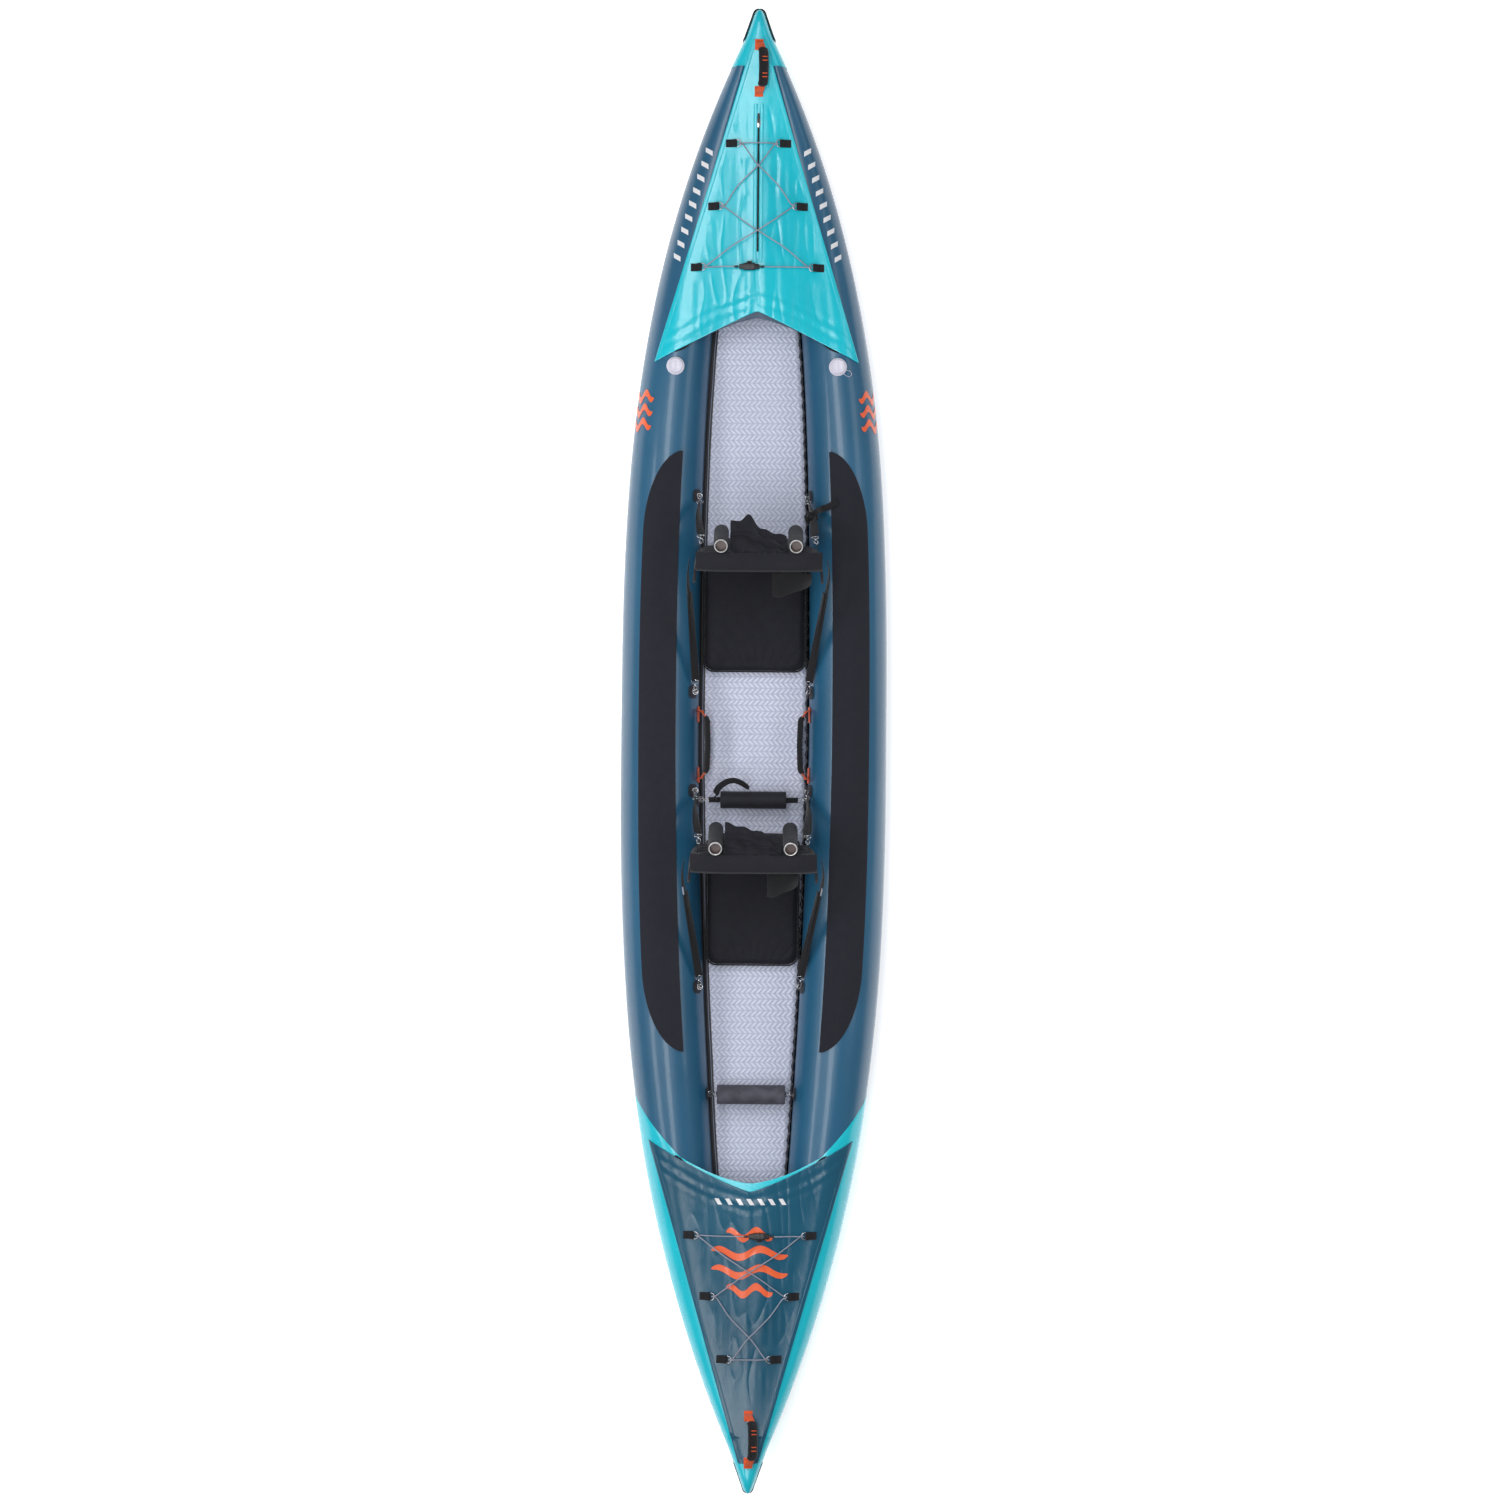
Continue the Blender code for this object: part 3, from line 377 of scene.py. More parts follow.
def make_looks():
    looks = {
        "blue": coated_fabric("pvc_blue", (0.017, 0.112, 0.212), (0.012, 0.090, 0.176), 0.33, 0.3),
        "blue_gloss": coated_fabric(
            "pvc_blue_gloss", (0.009, 0.095, 0.165), (0.006, 0.070, 0.125), 0.20, 0.06
        ),
        "teal": coated_fabric("pvc_teal", (0.006, 0.57, 0.68), (0.004, 0.48, 0.59), 0.24, 0.35),
        "teal_gloss": coated_fabric("deck_teal", (0.006, 0.58, 0.69), (0.004, 0.49, 0.60), 0.16, 0.45),
        "white_print": coated_fabric("print_white", (0.80, 0.80, 0.82), (0.74, 0.74, 0.77), 0.3, 0.3),
        "webbing": strap_cloth("webbing_black", (0.014, 0.014, 0.017), (0.006, 0.006, 0.008)),
        "orange": strap_cloth("webbing_orange", (0.90, 0.135, 0.035), (0.60, 0.075, 0.02)),
        "cord": braid("cord_grey", (0.36, 0.38, 0.47), (0.15, 0.16, 0.21)),
        "thread": braid("thread_grey", (0.035, 0.035, 0.045), (0.02, 0.02, 0.028)),
        "steel": steel("hook_steel", (0.66, 0.66, 0.68), 0.22),
        "plastic": plastic("plastic_black", (0.012, 0.012, 0.014), 0.38),
        "buckle": plastic("buckle_grey", (0.30, 0.32, 0.38), 0.42),
        "valve": plastic("valve_white", (0.66, 0.64, 0.74), 0.3),
        "grip": knit("grip_cover", (0.016, 0.016, 0.020), (0.006, 0.006, 0.008), 0.0028, 0.0007, 0.7),
        "seat": knit("seat_cloth", (0.0085, 0.0085, 0.0165), (0.0045, 0.0045, 0.0095), 0.0013, 0.00016, 0.72),
        "hem": knit("hem_cloth", (0.0125, 0.0125, 0.0200), (0.007, 0.007, 0.012), 0.0018, 0.0002, 0.75),
        # painted shade: near-black cloth, darker than the seat cloth, standing for the shade under the seat
        # back's hem
        "shade": knit("painted_shade_cloth", (0.0035, 0.0035, 0.0055), (0.002, 0.002, 0.003), 0.0013, 0.00016, 0.8),
        "foam_black": foam("foam_black", (0.0095, 0.0095, 0.0150)),
        "foam_grey": foam("foam_grey", (0.066, 0.066, 0.086)),
        "rim": plastic("rim_silver", (0.72, 0.71, 0.71), 0.3, 0.55),
        "bore": plastic("bore_brown", (0.125, 0.095, 0.090), 0.42, 0.2),
        "black_skin": coated_fabric("hull_black", (0.026, 0.026, 0.032), (0.018, 0.018, 0.022), 0.5, 0.0),
        "dark_blue": coated_fabric("pvc_navy", (0.012, 0.050, 0.105), (0.008, 0.036, 0.080), 0.4, 0.1),
        "orange_print": coated_fabric("print_orange", (0.86, 0.13, 0.035), (0.80, 0.11, 0.03), 0.3, 0.3),
        "grey_piping": coated_fabric("piping_grey", (0.20, 0.22, 0.30), (0.15, 0.17, 0.24), 0.45, 0.1),
        "grey_side": coated_fabric("floor_side", (0.16, 0.17, 0.21), (0.12, 0.13, 0.16), 0.5, 0.0),
        "rubber": rubber("stem_rubber", (0.014, 0.014, 0.015)),
        "floor": foam_mat(),
        "chafe": knit("chafe_cloth", (0.019, 0.019, 0.029), (0.012, 0.012, 0.020), 0.0016, 0.00012),
        "paper": paper(),
    }
    return looks


def rubber(name, colour):
    look = Look(name, colour, 0.55)
    place = look.place()
    grain = look.cloud(place, 420.0, 2.0)
    look.colour(
        look.mix(look.cloud(place, 14.0), tuple(0.7 * c for c in colour), tuple(1.4 * c for c in colour))
    )
    look.roughness(grain, 0.45, 0.7)
    look.bump(grain, 0.00018)
    return look.material


def foam_mat():
    """The floor's mat: pale closed-cell foam, its raised dashes painted lighter and its hollows darker, as
    painted highlight and shade.
    """
    look = Look("floor_mat", (0.54, 0.56, 0.68), 0.6, Specular_IOR_Level=0.35)
    place = look.place()
    raised = look.node("Attribute", {}, attribute_name="raised").outputs["Fac"]
    patchy = look.mix(
        look.ramp(look.cloud(place, 5.0), 0.0, 1.0, 0.3, 0.75), (0.60, 0.63, 0.76), (0.68, 0.71, 0.84)
    )
    # painted highlight and shade: the raised dashes take the lighter colour, the hollows the darker one
    look.colour(look.mix(raised, (0.43, 0.45, 0.57), patchy))
    pores = look.cloud(place, 900.0, 2.0)
    look.roughness(pores, 0.5, 0.75)
    look.bump(pores, 0.0002)
    return look.material


def knit(name, colour, deep, pitch, depth, roughness=0.85):
    """Close-woven cloth with slightly uneven threads."""
    look = Look(name, colour, roughness, Sheen_Weight=0.10, Sheen_Roughness=0.5, Specular_IOR_Level=0.3)
    place = look.place()
    cloth = look.weave(place, pitch, depth)
    uneven = look.cloud(place, 35.0, 4.0)
    look.colour(look.mix(look.maths("MULTIPLY", cloth, uneven), deep, colour))
    look.roughness(uneven, roughness - 0.1, roughness + 0.1)
    look.bump(look.cloud(place, 28.0, 3.0), 0.0008, 0.4)
    return look.material


def strap_cloth(name, colour, deep):
    """Ribbed webbing: its threads run along the strap, and its chevrons across."""
    look = Look(name, colour, 0.75, Sheen_Weight=0.2, Sheen_Roughness=0.4, Specular_IOR_Level=0.3)
    place = look.place(kind="UV")
    across, along = look.split(place)[0:2]
    ribs = look.maths("SINE", look.maths("MULTIPLY", across, math.tau / 0.0024))
    threads = look.maths("SINE", look.maths("MULTIPLY", along, math.tau / 0.0017))
    cloth = look.maths("MULTIPLY_ADD", look.maths("MULTIPLY", ribs, threads), 0.5, 0.5)
    fuzz = look.cloud(look.place(), 240.0, 3.0)
    look.colour(look.mix(look.maths("MULTIPLY", cloth, look.maths("ADD", fuzz, 0.4)), deep, colour))
    look.roughness(fuzz, 0.65, 0.9)
    look.bump(cloth, 0.00025)
    return look.material


def braid(name, colour, deep):
    """A braided cord: two sets of threads wound opposite ways."""
    look = Look(name, colour, 0.6, Sheen_Weight=0.1, Specular_IOR_Level=0.4)
    across, along = look.split(look.place(kind="UV"))[0:2]
    one = look.maths("SINE", look.maths("MULTIPLY", look.maths("ADD", across, along), math.tau / 0.0021))
    two = look.maths("SINE", look.maths("MULTIPLY", look.maths("SUBTRACT", across, along), math.tau / 0.0021))
    strands = look.maths("MULTIPLY_ADD", look.maths("MAXIMUM", one, two), 0.5, 0.5)
    look.colour(look.mix(strands, deep, colour))
    look.roughness(strands, 0.7, 0.5)
    look.bump(strands, 0.0003)
    return look.material


def steel(name, colour, roughness):
    look = Look(name, colour, roughness, Metallic=1.0)
    place = look.place()
    scratches = look.cloud(look.place((900, 900, 90)), 1.0, 3.0)
    tarnish = look.cloud(place, 45.0, 3.0)
    look.colour(look.mix(look.ramp(tarnish, 0.0, 1.0, 0.35, 0.75), tuple(0.72 * c for c in colour), colour))
    look.roughness(scratches, roughness - 0.08, roughness + 0.16)
    look.bump(scratches, 0.00004)
    return look.material


def plastic(name, colour, roughness, metallic=0.0):
    look = Look(name, colour, roughness, Metallic=metallic)
    place = look.place()
    grain = look.cloud(place, 650.0, 2.0)
    patches = look.cloud(place, 22.0, 3.0)
    look.colour(look.mix(patches, tuple(0.85 * c for c in colour), tuple(min(1.0, 1.12 * c) for c in colour)))
    look.roughness(grain, roughness - 0.06, roughness + 0.12)
    look.bump(grain, 0.00008)
    return look.material


def foam(name, colour):
    """Closed-cell foam with fine pores and scuffs."""
    look = Look(name, colour, 0.7, Specular_IOR_Level=0.35, Sheen_Weight=0.1)
    place = look.place()
    cells = look.node("TexVoronoi", {"Vector": place, "Scale": 700.0}).outputs["Distance"]
    scuffs = look.cloud(place, 30.0, 4.0)
    look.colour(
        look.mix(
            look.ramp(scuffs, 0.0, 1.0, 0.35, 0.7),
            tuple(0.7 * c for c in colour),
            tuple(1.25 * c for c in colour),
        )
    )
    look.roughness(scuffs, 0.6, 0.85)
    look.bump(cells, 0.00025)
    return look.material


def paper():
    look = Look("studio_paper", (0.93, 0.93, 0.94), 0.8, Emission_Color=(1, 1, 1, 1), Emission_Strength=0.6)
    look.roughness(look.cloud(look.place(), 8.0), 0.75, 0.85)
    return look.material


# ---------------------------------------------------------------- meshes


def finish_mesh(name, mesh, material, sharp=None):
    mesh.shade_smooth()
    if sharp:
        mesh.set_sharp_from_angle(angle=math.radians(sharp))
    mesh.materials.append(material)
    piece = bpy.data.objects.new(name, mesh)
    bpy.context.scene.collection.objects.link(piece)
    return piece


def skin(name, rows, material, ring=False, caps=False, sharp=None, uv=None):
    """Quads over rows of points. ring closes each row on itself, caps fills the first and last rows.
    uv gives each point's place (across, along) in metres on the cloth."""
    count = len(rows[0])
    faces = []
    for r in range(len(rows) - 1):
        for c in range(count if ring else count - 1):
            d = (c + 1) % count
            faces.append((r * count + c, r * count + d, (r + 1) * count + d, (r + 1) * count + c))
    mesh = bpy.data.meshes.new(name)
    mesh.from_pydata([point for row in rows for point in row], [], faces)
    if uv:
        layer = mesh.uv_layers.new(name="cloth")
        for face in mesh.polygons:
            corners = [uv[mesh.loops[i].vertex_index] for i in face.loop_indices]
            for i, (u, v) in zip(face.loop_indices, corners):
                if ring and max(c[0] for c in corners) - u > 0.6 * uv[count - 1][0]:
                    u += uv[count - 1][0] * count / (count - 1)
                layer.data[i].uv = (u, v)
    bm = bmesh.new()
    bm.from_mesh(mesh)
    if caps:
        bm.verts.ensure_lookup_table()
        last = len(rows) - 1
        bm.faces.new([bm.verts[i] for i in range(count)])
        bm.faces.new([bm.verts[last * count + i] for i in range(count)])
    if ring:
        bmesh.ops.recalc_face_normals(bm, faces=bm.faces)
    elif sum(face.normal.z * face.calc_area() for face in bm.faces) < 0:
        bmesh.ops.reverse_faces(bm, faces=bm.faces)
    bm.to_mesh(mesh)
    bm.free()
    return finish_mesh(name, mesh, material, sharp)


def thicken(piece, thickness, rounding=0.0):
    """Gives a skin its thickness, downwards, and rounds its edges."""
    solid = piece.modifiers.new("thickness", "SOLIDIFY")
    solid.thickness = thickness
    solid.offset = -1
    if rounding:
        edge = piece.modifiers.new("rounding", "BEVEL")
        edge.width = rounding
        edge.segments = 2
        edge.angle_limit = math.radians(50)
    return piece


def smooth_path(points, steps):
    """A Catmull-Rom curve through the points."""
    points = [Vector(p) for p in points]
    ends = [2 * points[0] - points[1], *points, 2 * points[-1] - points[-2]]
    path = []
    for a, b, c, d in zip(ends, ends[1:], ends[2:], ends[3:]):
        for step in range(steps):
            t = step / steps
            path.append(
                0.5 * (
                    2 * b + (c - a) * t + (2 * a - 5 * b + 4 * c - d) * t**2 + (3 * b - a - 3 * c + d) * t**3
                )
            )
    path.append(points[-1])
    return path


def sweep(name, path, material, section, first_side=(1, 0, 0), loop=False, sides=None, caps=True):
    """A solid along a path. section(share of the length) gives the outline's points (across, out), and
    sides, where given, is the across direction at each point."""
    path = [Vector(p) for p in path]
    last = len(path) - 1
    lengths = [0.0]
    for a, b in zip(path, path[1:]):
        lengths.append(lengths[-1] + (b - a).length)
    side = Vector(first_side).normalized()
    rows, uv = [], []
    for i, point in enumerate(path):
        if loop:
            tangent = (path[(i + 1) % len(path)] - path[i - 1]).normalized()
        else:
            tangent = (path[min(i + 1, last)] - path[max(i - 1, 0)]).normalized()
        side = Vector(sides[i]) if sides else side
        side = (side - tangent * side.dot(tangent)).normalized()
        out = tangent.cross(side)
        outline = section(lengths[i] / lengths[-1])
        rows.append([point + side * a + out * b for a, b in outline])
        around = 0.0
        for (a, b), (c, d) in zip(outline, outline[1:] + outline[:1]):
            uv.append((around, lengths[i]))
            around += math.hypot(c - a, d - b)
    if loop:
        rows.append(rows[0])
        uv.extend([(u, lengths[-1] + (path[0] - path[-1]).length) for u, _ in uv[: len(rows[0])]])
    return skin(name, rows, material, ring=True, caps=caps and not loop, uv=uv, sharp=60)


def circle(radius, sides=12):
    return [
        (radius * math.cos(math.tau * i / sides), radius * math.sin(math.tau * i / sides))
        for i in range(sides)
    ]


def webbing(half_width, half_thickness):
    """The outline of a strap, its edges rounded."""
    w, t = half_width, half_thickness
    inner = w - t
    return [(inner, t), (inner / 2, t), (0, t), (-inner / 2, t), (-inner, t), (-w, 0), (-inner, -t),
            (-inner / 2, -t), (0, -t), (inner / 2, -t), (inner, -t), (w, 0)]


def cord_tube(name, path, radius, material, sides=12, loop=False):
    """A round cord or wire with domed ends."""
    length = sum((Vector(b) - Vector(a)).length for a, b in zip(path, path[1:]))

    def section(share):
        end = min(share, 1 - share) * length
        shrink = 1.0 if loop or end > radius else math.sqrt(max(0.04, 1 - (1 - end / radius) ** 2))
        return circle(radius * shrink, sides)

    return sweep(name, path, material, section, first_side=(0.2, 1, 0.1), loop=loop)


def join(name, pieces):
    """One object from several, each keeping its material."""
    whole = bpy.data.meshes.new(name)
    bm = bmesh.new()
    for piece in pieces:
        index = len(whole.materials)
        whole.materials.append(piece.data.materials[0])
        start = len(bm.faces)
        bm.from_mesh(piece.data)
        bm.faces.ensure_lookup_table()
        for face in bm.faces[start:]:
            face.material_index = index
        bpy.data.objects.remove(piece)
    bm.to_mesh(whole)
    bm.free()
    joined = bpy.data.objects.new(name, whole)
    bpy.context.scene.collection.objects.link(joined)
    return joined


def settle(piece, body, slot, *nodes):
    """Puts a piece on its body and hides the CAD nodes it stands for; its material slot argument is not used.
    """
    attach(piece, body)
    if nodes:
        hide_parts(*nodes)
    return piece


# ---------------------------------------------------------------- the hull


def make_side_tube(label, side):
    rows = []
    for y in spaced(-TUBE_END, TUBE_END, 221):
        row = []
        for i in range(72):
            angle = math.tau * i / 72
            ripple = 0.0010 * rough(3 * math.cos(angle), y * 2.2 + 9 * side, 3 * math.sin(angle))
            row.append(tube_point(side, y, angle, ripple))
        rows.append(row)
    tube = skin("tube_skin_" + label, rows, LOOKS["blue"], ring=True, caps=True, sharp=50)
    settle(tube, "hull", "pvc_blue", "tube_" + label)


def wrap_start(side, angle):
    """Where the bow's teal panel begins on a tube: its edge sweeps aft towards the outboard side."""
    y = -1.093
    for _ in range(4):
        inboard = max(0.0, half_width(y) - abs(tube_point(side, y, angle).x))
        y = -1.093 - 0.096 * (inboard / 0.045) ** 0.75
    return y


def make_bow_wrap(label, side):
    """The teal panel welded over the blue tube towards the bow."""
    angles = [math.tau * i / 72 for i in range(72)]
    rows = []
    for t in spaced(0, 1, 90):
        row = []
        for angle in angles:
            start = wrap_start(side, angle)
            y = start + (-TUBE_END - start) * t
            ripple = 0.0008 * rough(3 * math.cos(angle), y * 3 + 5 * side, 3 * math.sin(angle))
            lip = 0.0006 if t else -0.0006
            row.append(tube_point(side, y, angle, 0.0012 + lip + ripple))
        rows.append(row)
    settle(skin("bow_wrap_" + label, rows, LOOKS["teal"], ring=True), "hull", "pvc_teal")


def nose_half_width(y):
    """The half width of a closed end: straight sides that run tangent into the rounded tip."""
    slope = math.atan(TIP_SLOPE)
    tangent_y = HALF_LENGTH - TIP_RADIUS * (1 - math.sin(slope))
    if abs(y) > tangent_y:
        past = abs(y) - (HALF_LENGTH - TIP_RADIUS)
        return math.sqrt(max(0.0, TIP_RADIUS**2 - past**2))
    straight = TIP_RADIUS * math.cos(slope) + TIP_SLOPE * (tangent_y - abs(y))
    return max(half_width(y), straight)


def nose_ring(sign, y, angles, gap=0.0):
    """A section of the closed end of the hull, from the side tubes' ends to the rounded stem."""
    _, centre_z, _, half_z = tube_at(sign * y)
    half_x = nose_half_width(sign * y)
    rounding = 1 - 0.45 * max(0.0, (y - 2.26) / (HALF_LENGTH - 2.26)) ** 3
    power = 2 / nose_power(y)
    ring = []
    for angle in angles:
        c, s = math.cos(angle), math.sin(angle)
        x = (half_x + gap) * math.copysign(abs(c) ** power, c)
        z = centre_z + (half_z * rounding + gap) * math.copysign(abs(s) ** power, s)
        ring.append(Vector((x, sign * y, z)))
    return ring


def make_nose(end):
    sign = ENDS[end]
    angles = [math.tau * i / 72 for i in range(72)]
    stations = [TUBE_END, *spaced(2.19, 2.33, 15), 2.339, 2.345, 2.350, 2.3535, 2.3558, 2.3568]
    rows = [nose_ring(sign, y, angles, 0.0006) for y in stations]
    nose = skin(end + "_nose_skin", rows, LOOKS["teal"], ring=True, caps=True, sharp=60)
    settle(nose, "hull", "pvc_teal", end + "_nose")


def make_stem_strip(end):
    """The black rubbing strip round the stem at the height of the widest part."""
    sign = ENDS[end]
    angles = [math.radians(a) for a in spaced(-24, 24, 9)]
    rows = []
    for y in [*spaced(2.266, 2.34, 9), 2.346, 2.350, 2.353, 2.3552, 2.3566]:
        forward = 0.0032 * ease((y - 2.335) / 0.020)
        ring = nose_ring(sign, y, angles, 0.0022)
        rows.append([p + Vector((0, sign * forward, 0)) for p in ring])
    rows += [[Vector((-p.x, p.y, p.z)) for p in row] for row in reversed(rows)]
    strip = thicken(skin(end + "_stem_strip", rows, LOOKS["rubber"]), 0.0040, 0.0012)
    settle(strip, "hull", "hull_black")


def dash_relief(x, y):
    """The floor mat's pattern: rows of short dashes, each row slanting the other way from the next."""
    row_pitch, dash_pitch = 0.0185, 0.0165
    row = y / row_pitch
    within = row - math.floor(row) - 0.5
    lean = 1.0 if math.floor(row) % 2 else -1.0
    along = (x + lean * within * row_pitch * 0.95) / dash_pitch
    across = along - math.floor(along) - 0.5
    return ease(2.1 - 5.6 * abs(across)) * ease(3.4 - 7.2 * abs(within))


def make_floor():
    """The drop-stitch floor, with its mat's dashes as real relief where the cockpit is open."""
    edge = 0.020
    rows = []
    columns = 170
    for y in spaced(-FLOOR_HALF_LENGTH, FLOOR_HALF_LENGTH, 1340):
        centre, _, half_x, _ = tube_at(y)
        w = centre - half_x - 0.004
        row = []
        for share in spaced(-1, 1, columns):
            x = share * w
            inside = w - abs(x)
            fall = 0.0 if inside > edge else edge - math.sqrt(max(0.0, edge**2 - (edge - inside) ** 2))
            relief = 0.0026 * dash_relief(x, y) * ease((inside - 0.010) / 0.008)
            swell = -0.0028 + 0.0010 * rough(x * 4, y * 4, 2)
            row.append(Vector((x, y, keel(y) + FLOOR_TOP - keel(FLOOR_HALF_LENGTH) - fall + relief + swell)))
        rows.append(row)
    top = skin("floor_mat", rows, LOOKS["floor"])
    # how raised each point is, which the mat's material uses for its painted highlight and shade
    raised = top.data.attributes.new("raised", "FLOAT", "POINT")
    for vertex, share in zip(top.data.vertices, raised.data):
        share.value = dash_relief(vertex.co.x, vertex.co.y)
    settle(top, "hull", "floor_grey", "floor_panel")
    rows = []
    for y in spaced(-FLOOR_HALF_LENGTH, FLOOR_HALF_LENGTH, 60):
        centre, _, half_x, _ = tube_at(y)
        w = centre - half_x - 0.004
        low = keel(y) + 0.0046
        high = low + 0.099
        wall = (
            (w - 0.020, low), (w, low + 0.02), (w, high - 0.02), (w - 0.004, high - 0.008),
            (w - 0.02, high - 0.004),
        )
        outline = [*wall, *[(-x, z) for x, z in reversed(wall)]]
        rows.append([Vector((x, y, z)) for x, z in outline])
    body = skin("floor_body", rows, LOOKS["grey_side"], ring=True, caps=True, sharp=50)
    settle(body, "hull", "floor_grey")


def make_bottom_skin():
    shoulder = 0.62
    rows = []
    for y in spaced(-2.17, 2.17, 181):
        centre, z, half_x, half_z = tube_at(y)
        row = []
        for share in spaced(-1, 1, 61):
            x = share * (centre + half_x * shoulder)
            beyond = max(0.0, (abs(x) - centre) / half_x)
            top = z - half_z * math.sqrt(1 - beyond**2) - SKIN_GAP
            row.append(Vector((x, y, top - 0.0002)))
        rows.append(row)
    bottom = thicken(skin("bottom_skin", rows, LOOKS["black_skin"]), SKIN - 0.0003)
    settle(bottom, "hull", "hull_black", "hull_bottom_skin")


# ---------------------------------------------------------------- decks


def calm(end, x, y):
    """0 where something is fixed to a deck, 1 well away from it, so that folds stop at the fittings."""
    free = 1.0
    for row, ring_y in LACING_ROWS.items():
        away = math.hypot(abs(x) - ring_x(row) - 0.012, abs(y) - ring_y)
        free = min(free, ease((away - 0.025) / 0.04))
    free = min(free, ease((abs(x) - 0.012) / 0.03) if end == "stern" and abs(y) > 1.57 else 1.0)
    return free * ease((2.10 - abs(y)) / 0.12) * ease((deck_edge(end, y) - abs(x)) / 0.03)


def ring_x(row):
    return RING_X_AT_A - RING_X_TAPER * (LACING_ROWS[row] - LACING_ROWS["a"])


def deck_folds(end, x, y):
    """Soft creases of the stretched vinyl: along the opening's edge, and lengthwise between the fittings."""
    from_opening = abs(y) - opening_edge(end, x)
    waver = rough(x * 6, y * 6, ENDS[end])
    hem_fold = math.sin(from_opening / 0.0065 + waver * 2.6) * hump(from_opening - 0.045, 0.06)
    lengthwise = rough(x * 26, y * 2.6, 4 + ENDS[end]) + 0.6 * rough(x * 60, y * 7, 9)
    crease = (1 - abs(rough(x * 17 + 3, y * 5 + x * 9, 11 * ENDS[end]))) ** 9
    tubes = ease((tube_at(y)[0] - abs(x)) / 0.05)
    relief = 0.0008 * hem_fold + (0.0011 * lengthwise - 0.0016 * crease) * (0.25 + 0.75 * tubes)
    return calm(end, x, y) * relief


def make_deck(end):
    sign = ENDS[end]
    rows = []
    for t in spaced(0, 1, 280):
        row = []
        for share in spaced(-1, 1, 201):
            start = opening_edge(end, DECK_HALF_CORNER * share)
            y = start + (DECK_END - start) * t
            x = share * deck_edge(end, y)
            row.append(Vector((x, sign * y, deck_top(x, sign * y) + deck_folds(end, x, sign * y))))
        rows.append(row)
    look = LOOKS["teal_gloss"] if end == "stern" else LOOKS["blue_gloss"]
    deck = thicken(skin(end + "_deck_sheet", rows, look), 0.0016)
    settle(deck, "hull", "pvc_teal" if end == "stern" else "pvc_blue_gloss", end + "_deck")


def make_deck_trim(end):
    """The coaming's band under the deck's rear edge, wider at the notch, with a webbing end at each side."""
    sign = ENDS[end]
    rows = []
    reach = DECK_HALF_CORNER - 0.035
    for x in spaced(-reach, reach, 101):
        near = (1 - min(1.0, abs(x) / 0.15)) ** 2
        width = (0.008 + 0.014 * near) if end == "stern" else (0.015 + 0.012 * near)
        row = []
        for share in spaced(0, 1, 7):
            y = opening_edge(end, x) + 0.010 - (width + 0.010) * share
            drop = 0.0035 + 0.004 * share**2
            row.append(Vector((x, sign * y, deck_top(x, sign * y) - drop)))
        rows.append(row)
    look = LOOKS["dark_blue"] if end == "stern" else LOOKS["teal"]
    trim = thicken(skin(end + "_coaming_band", rows, look), 0.0015, 0.0004)
    settle(trim, "hull", "pvc_blue" if end == "stern" else "pvc_teal")
    for label, side in SIDES.items():
        x = side * 0.232
        y = sign * (opening_edge(end, x) - 0.004)
        path = []
        for inboard, forward, drop in ((-0.030, 0.004, 0.004), (0.0, 0.0, 0.003), (0.024, 0.006, 0.006)):
            px = x - side * inboard
            py = sign * (opening_edge(end, px) - 0.006 + forward)
            path.append(Vector((px, py, deck_top(px, y) - drop)))
        tab = sweep(f"{end}_coaming_tab_{label}", smooth_path(path, 6), LOOKS["webbing"],
                    lambda t: webbing(0.006, 0.0012), sides=[Vector((0, 1, 0))] * 13)
        settle(tab, "hull", "webbing_black")
        path, sides = [], []
        for py in spaced(DECK_CORNER + 0.012, DECK_END - 0.01, 90):
            px = side * (deck_edge(end, py) - 0.0065)
            path.append(Vector((px, sign * py, deck_top(px, sign * py) + 0.0004)))
            slope = (deck_top(px + 0.002, sign * py) - deck_top(px - 0.002, sign * py)) / 0.004
            sides.append(Vector((1, 0, slope)))
        weld = sweep(f"{end}_deck_weld_{label}", path, LOOKS["teal" if end == "stern" else "blue_gloss"],
                     lambda t: webbing(0.0065, 0.0008), sides=sides)
        settle(weld, "hull", "pvc_teal" if end == "stern" else "pvc_blue_gloss")


def make_chafe_pad(label, side):
    rows = []
    for y in [CHAFE_END * math.sin(math.pi / 2 * t) for t in spaced(-1, 1, 161)]:
        past = max(0.0, (abs(y) - CHAFE_TAPER_FROM) / (CHAFE_END - CHAFE_TAPER_FROM))
        width = max(0.04, math.sqrt(max(0.0, 1 - past**2)))
        inner = abs(tube_point(1, y, CHAFE_INNER).x)
        outer = abs(tube_point(1, y, CHAFE_OUTER).x)
        row = []
        for share in spaced(0, 1, 25):
            x = inner + (outer - inner) * width * share
            border = 0.0003 if 0.06 < share < 0.94 else 0.0
            row.append(Vector((side * x, y, hull_top(x, y) + 0.0033 - border)))
        rows.append(row)
    pad = thicken(skin("chafe_patch_" + label, rows, LOOKS["chafe"]), 0.0024, 0.0005)
    settle(pad, "hull", "chafe_black", "chafe_pad_" + label)


# ---------------------------------------------------------------- fittings


def stitches(path):
    """A line of thread, thin where it dips between stitches."""
    length = sum((Vector(b) - Vector(a)).length for a, b in zip(path, path[1:]))
    count = max(4, round(length / 0.0045))

    def section(share):
        return circle(0.00055 * (0.25 + abs(math.sin(math.pi * count * share))), 6)

    return sweep("stitches", path, LOOKS["thread"], section, first_side=(0.3, 1, 0.2))


def finer(points, steps):
    return [
        Vector(a).lerp(Vector(b), i / steps) for a, b in zip(points, points[1:]) for i in range(steps)
    ] + [Vector(points[-1])]


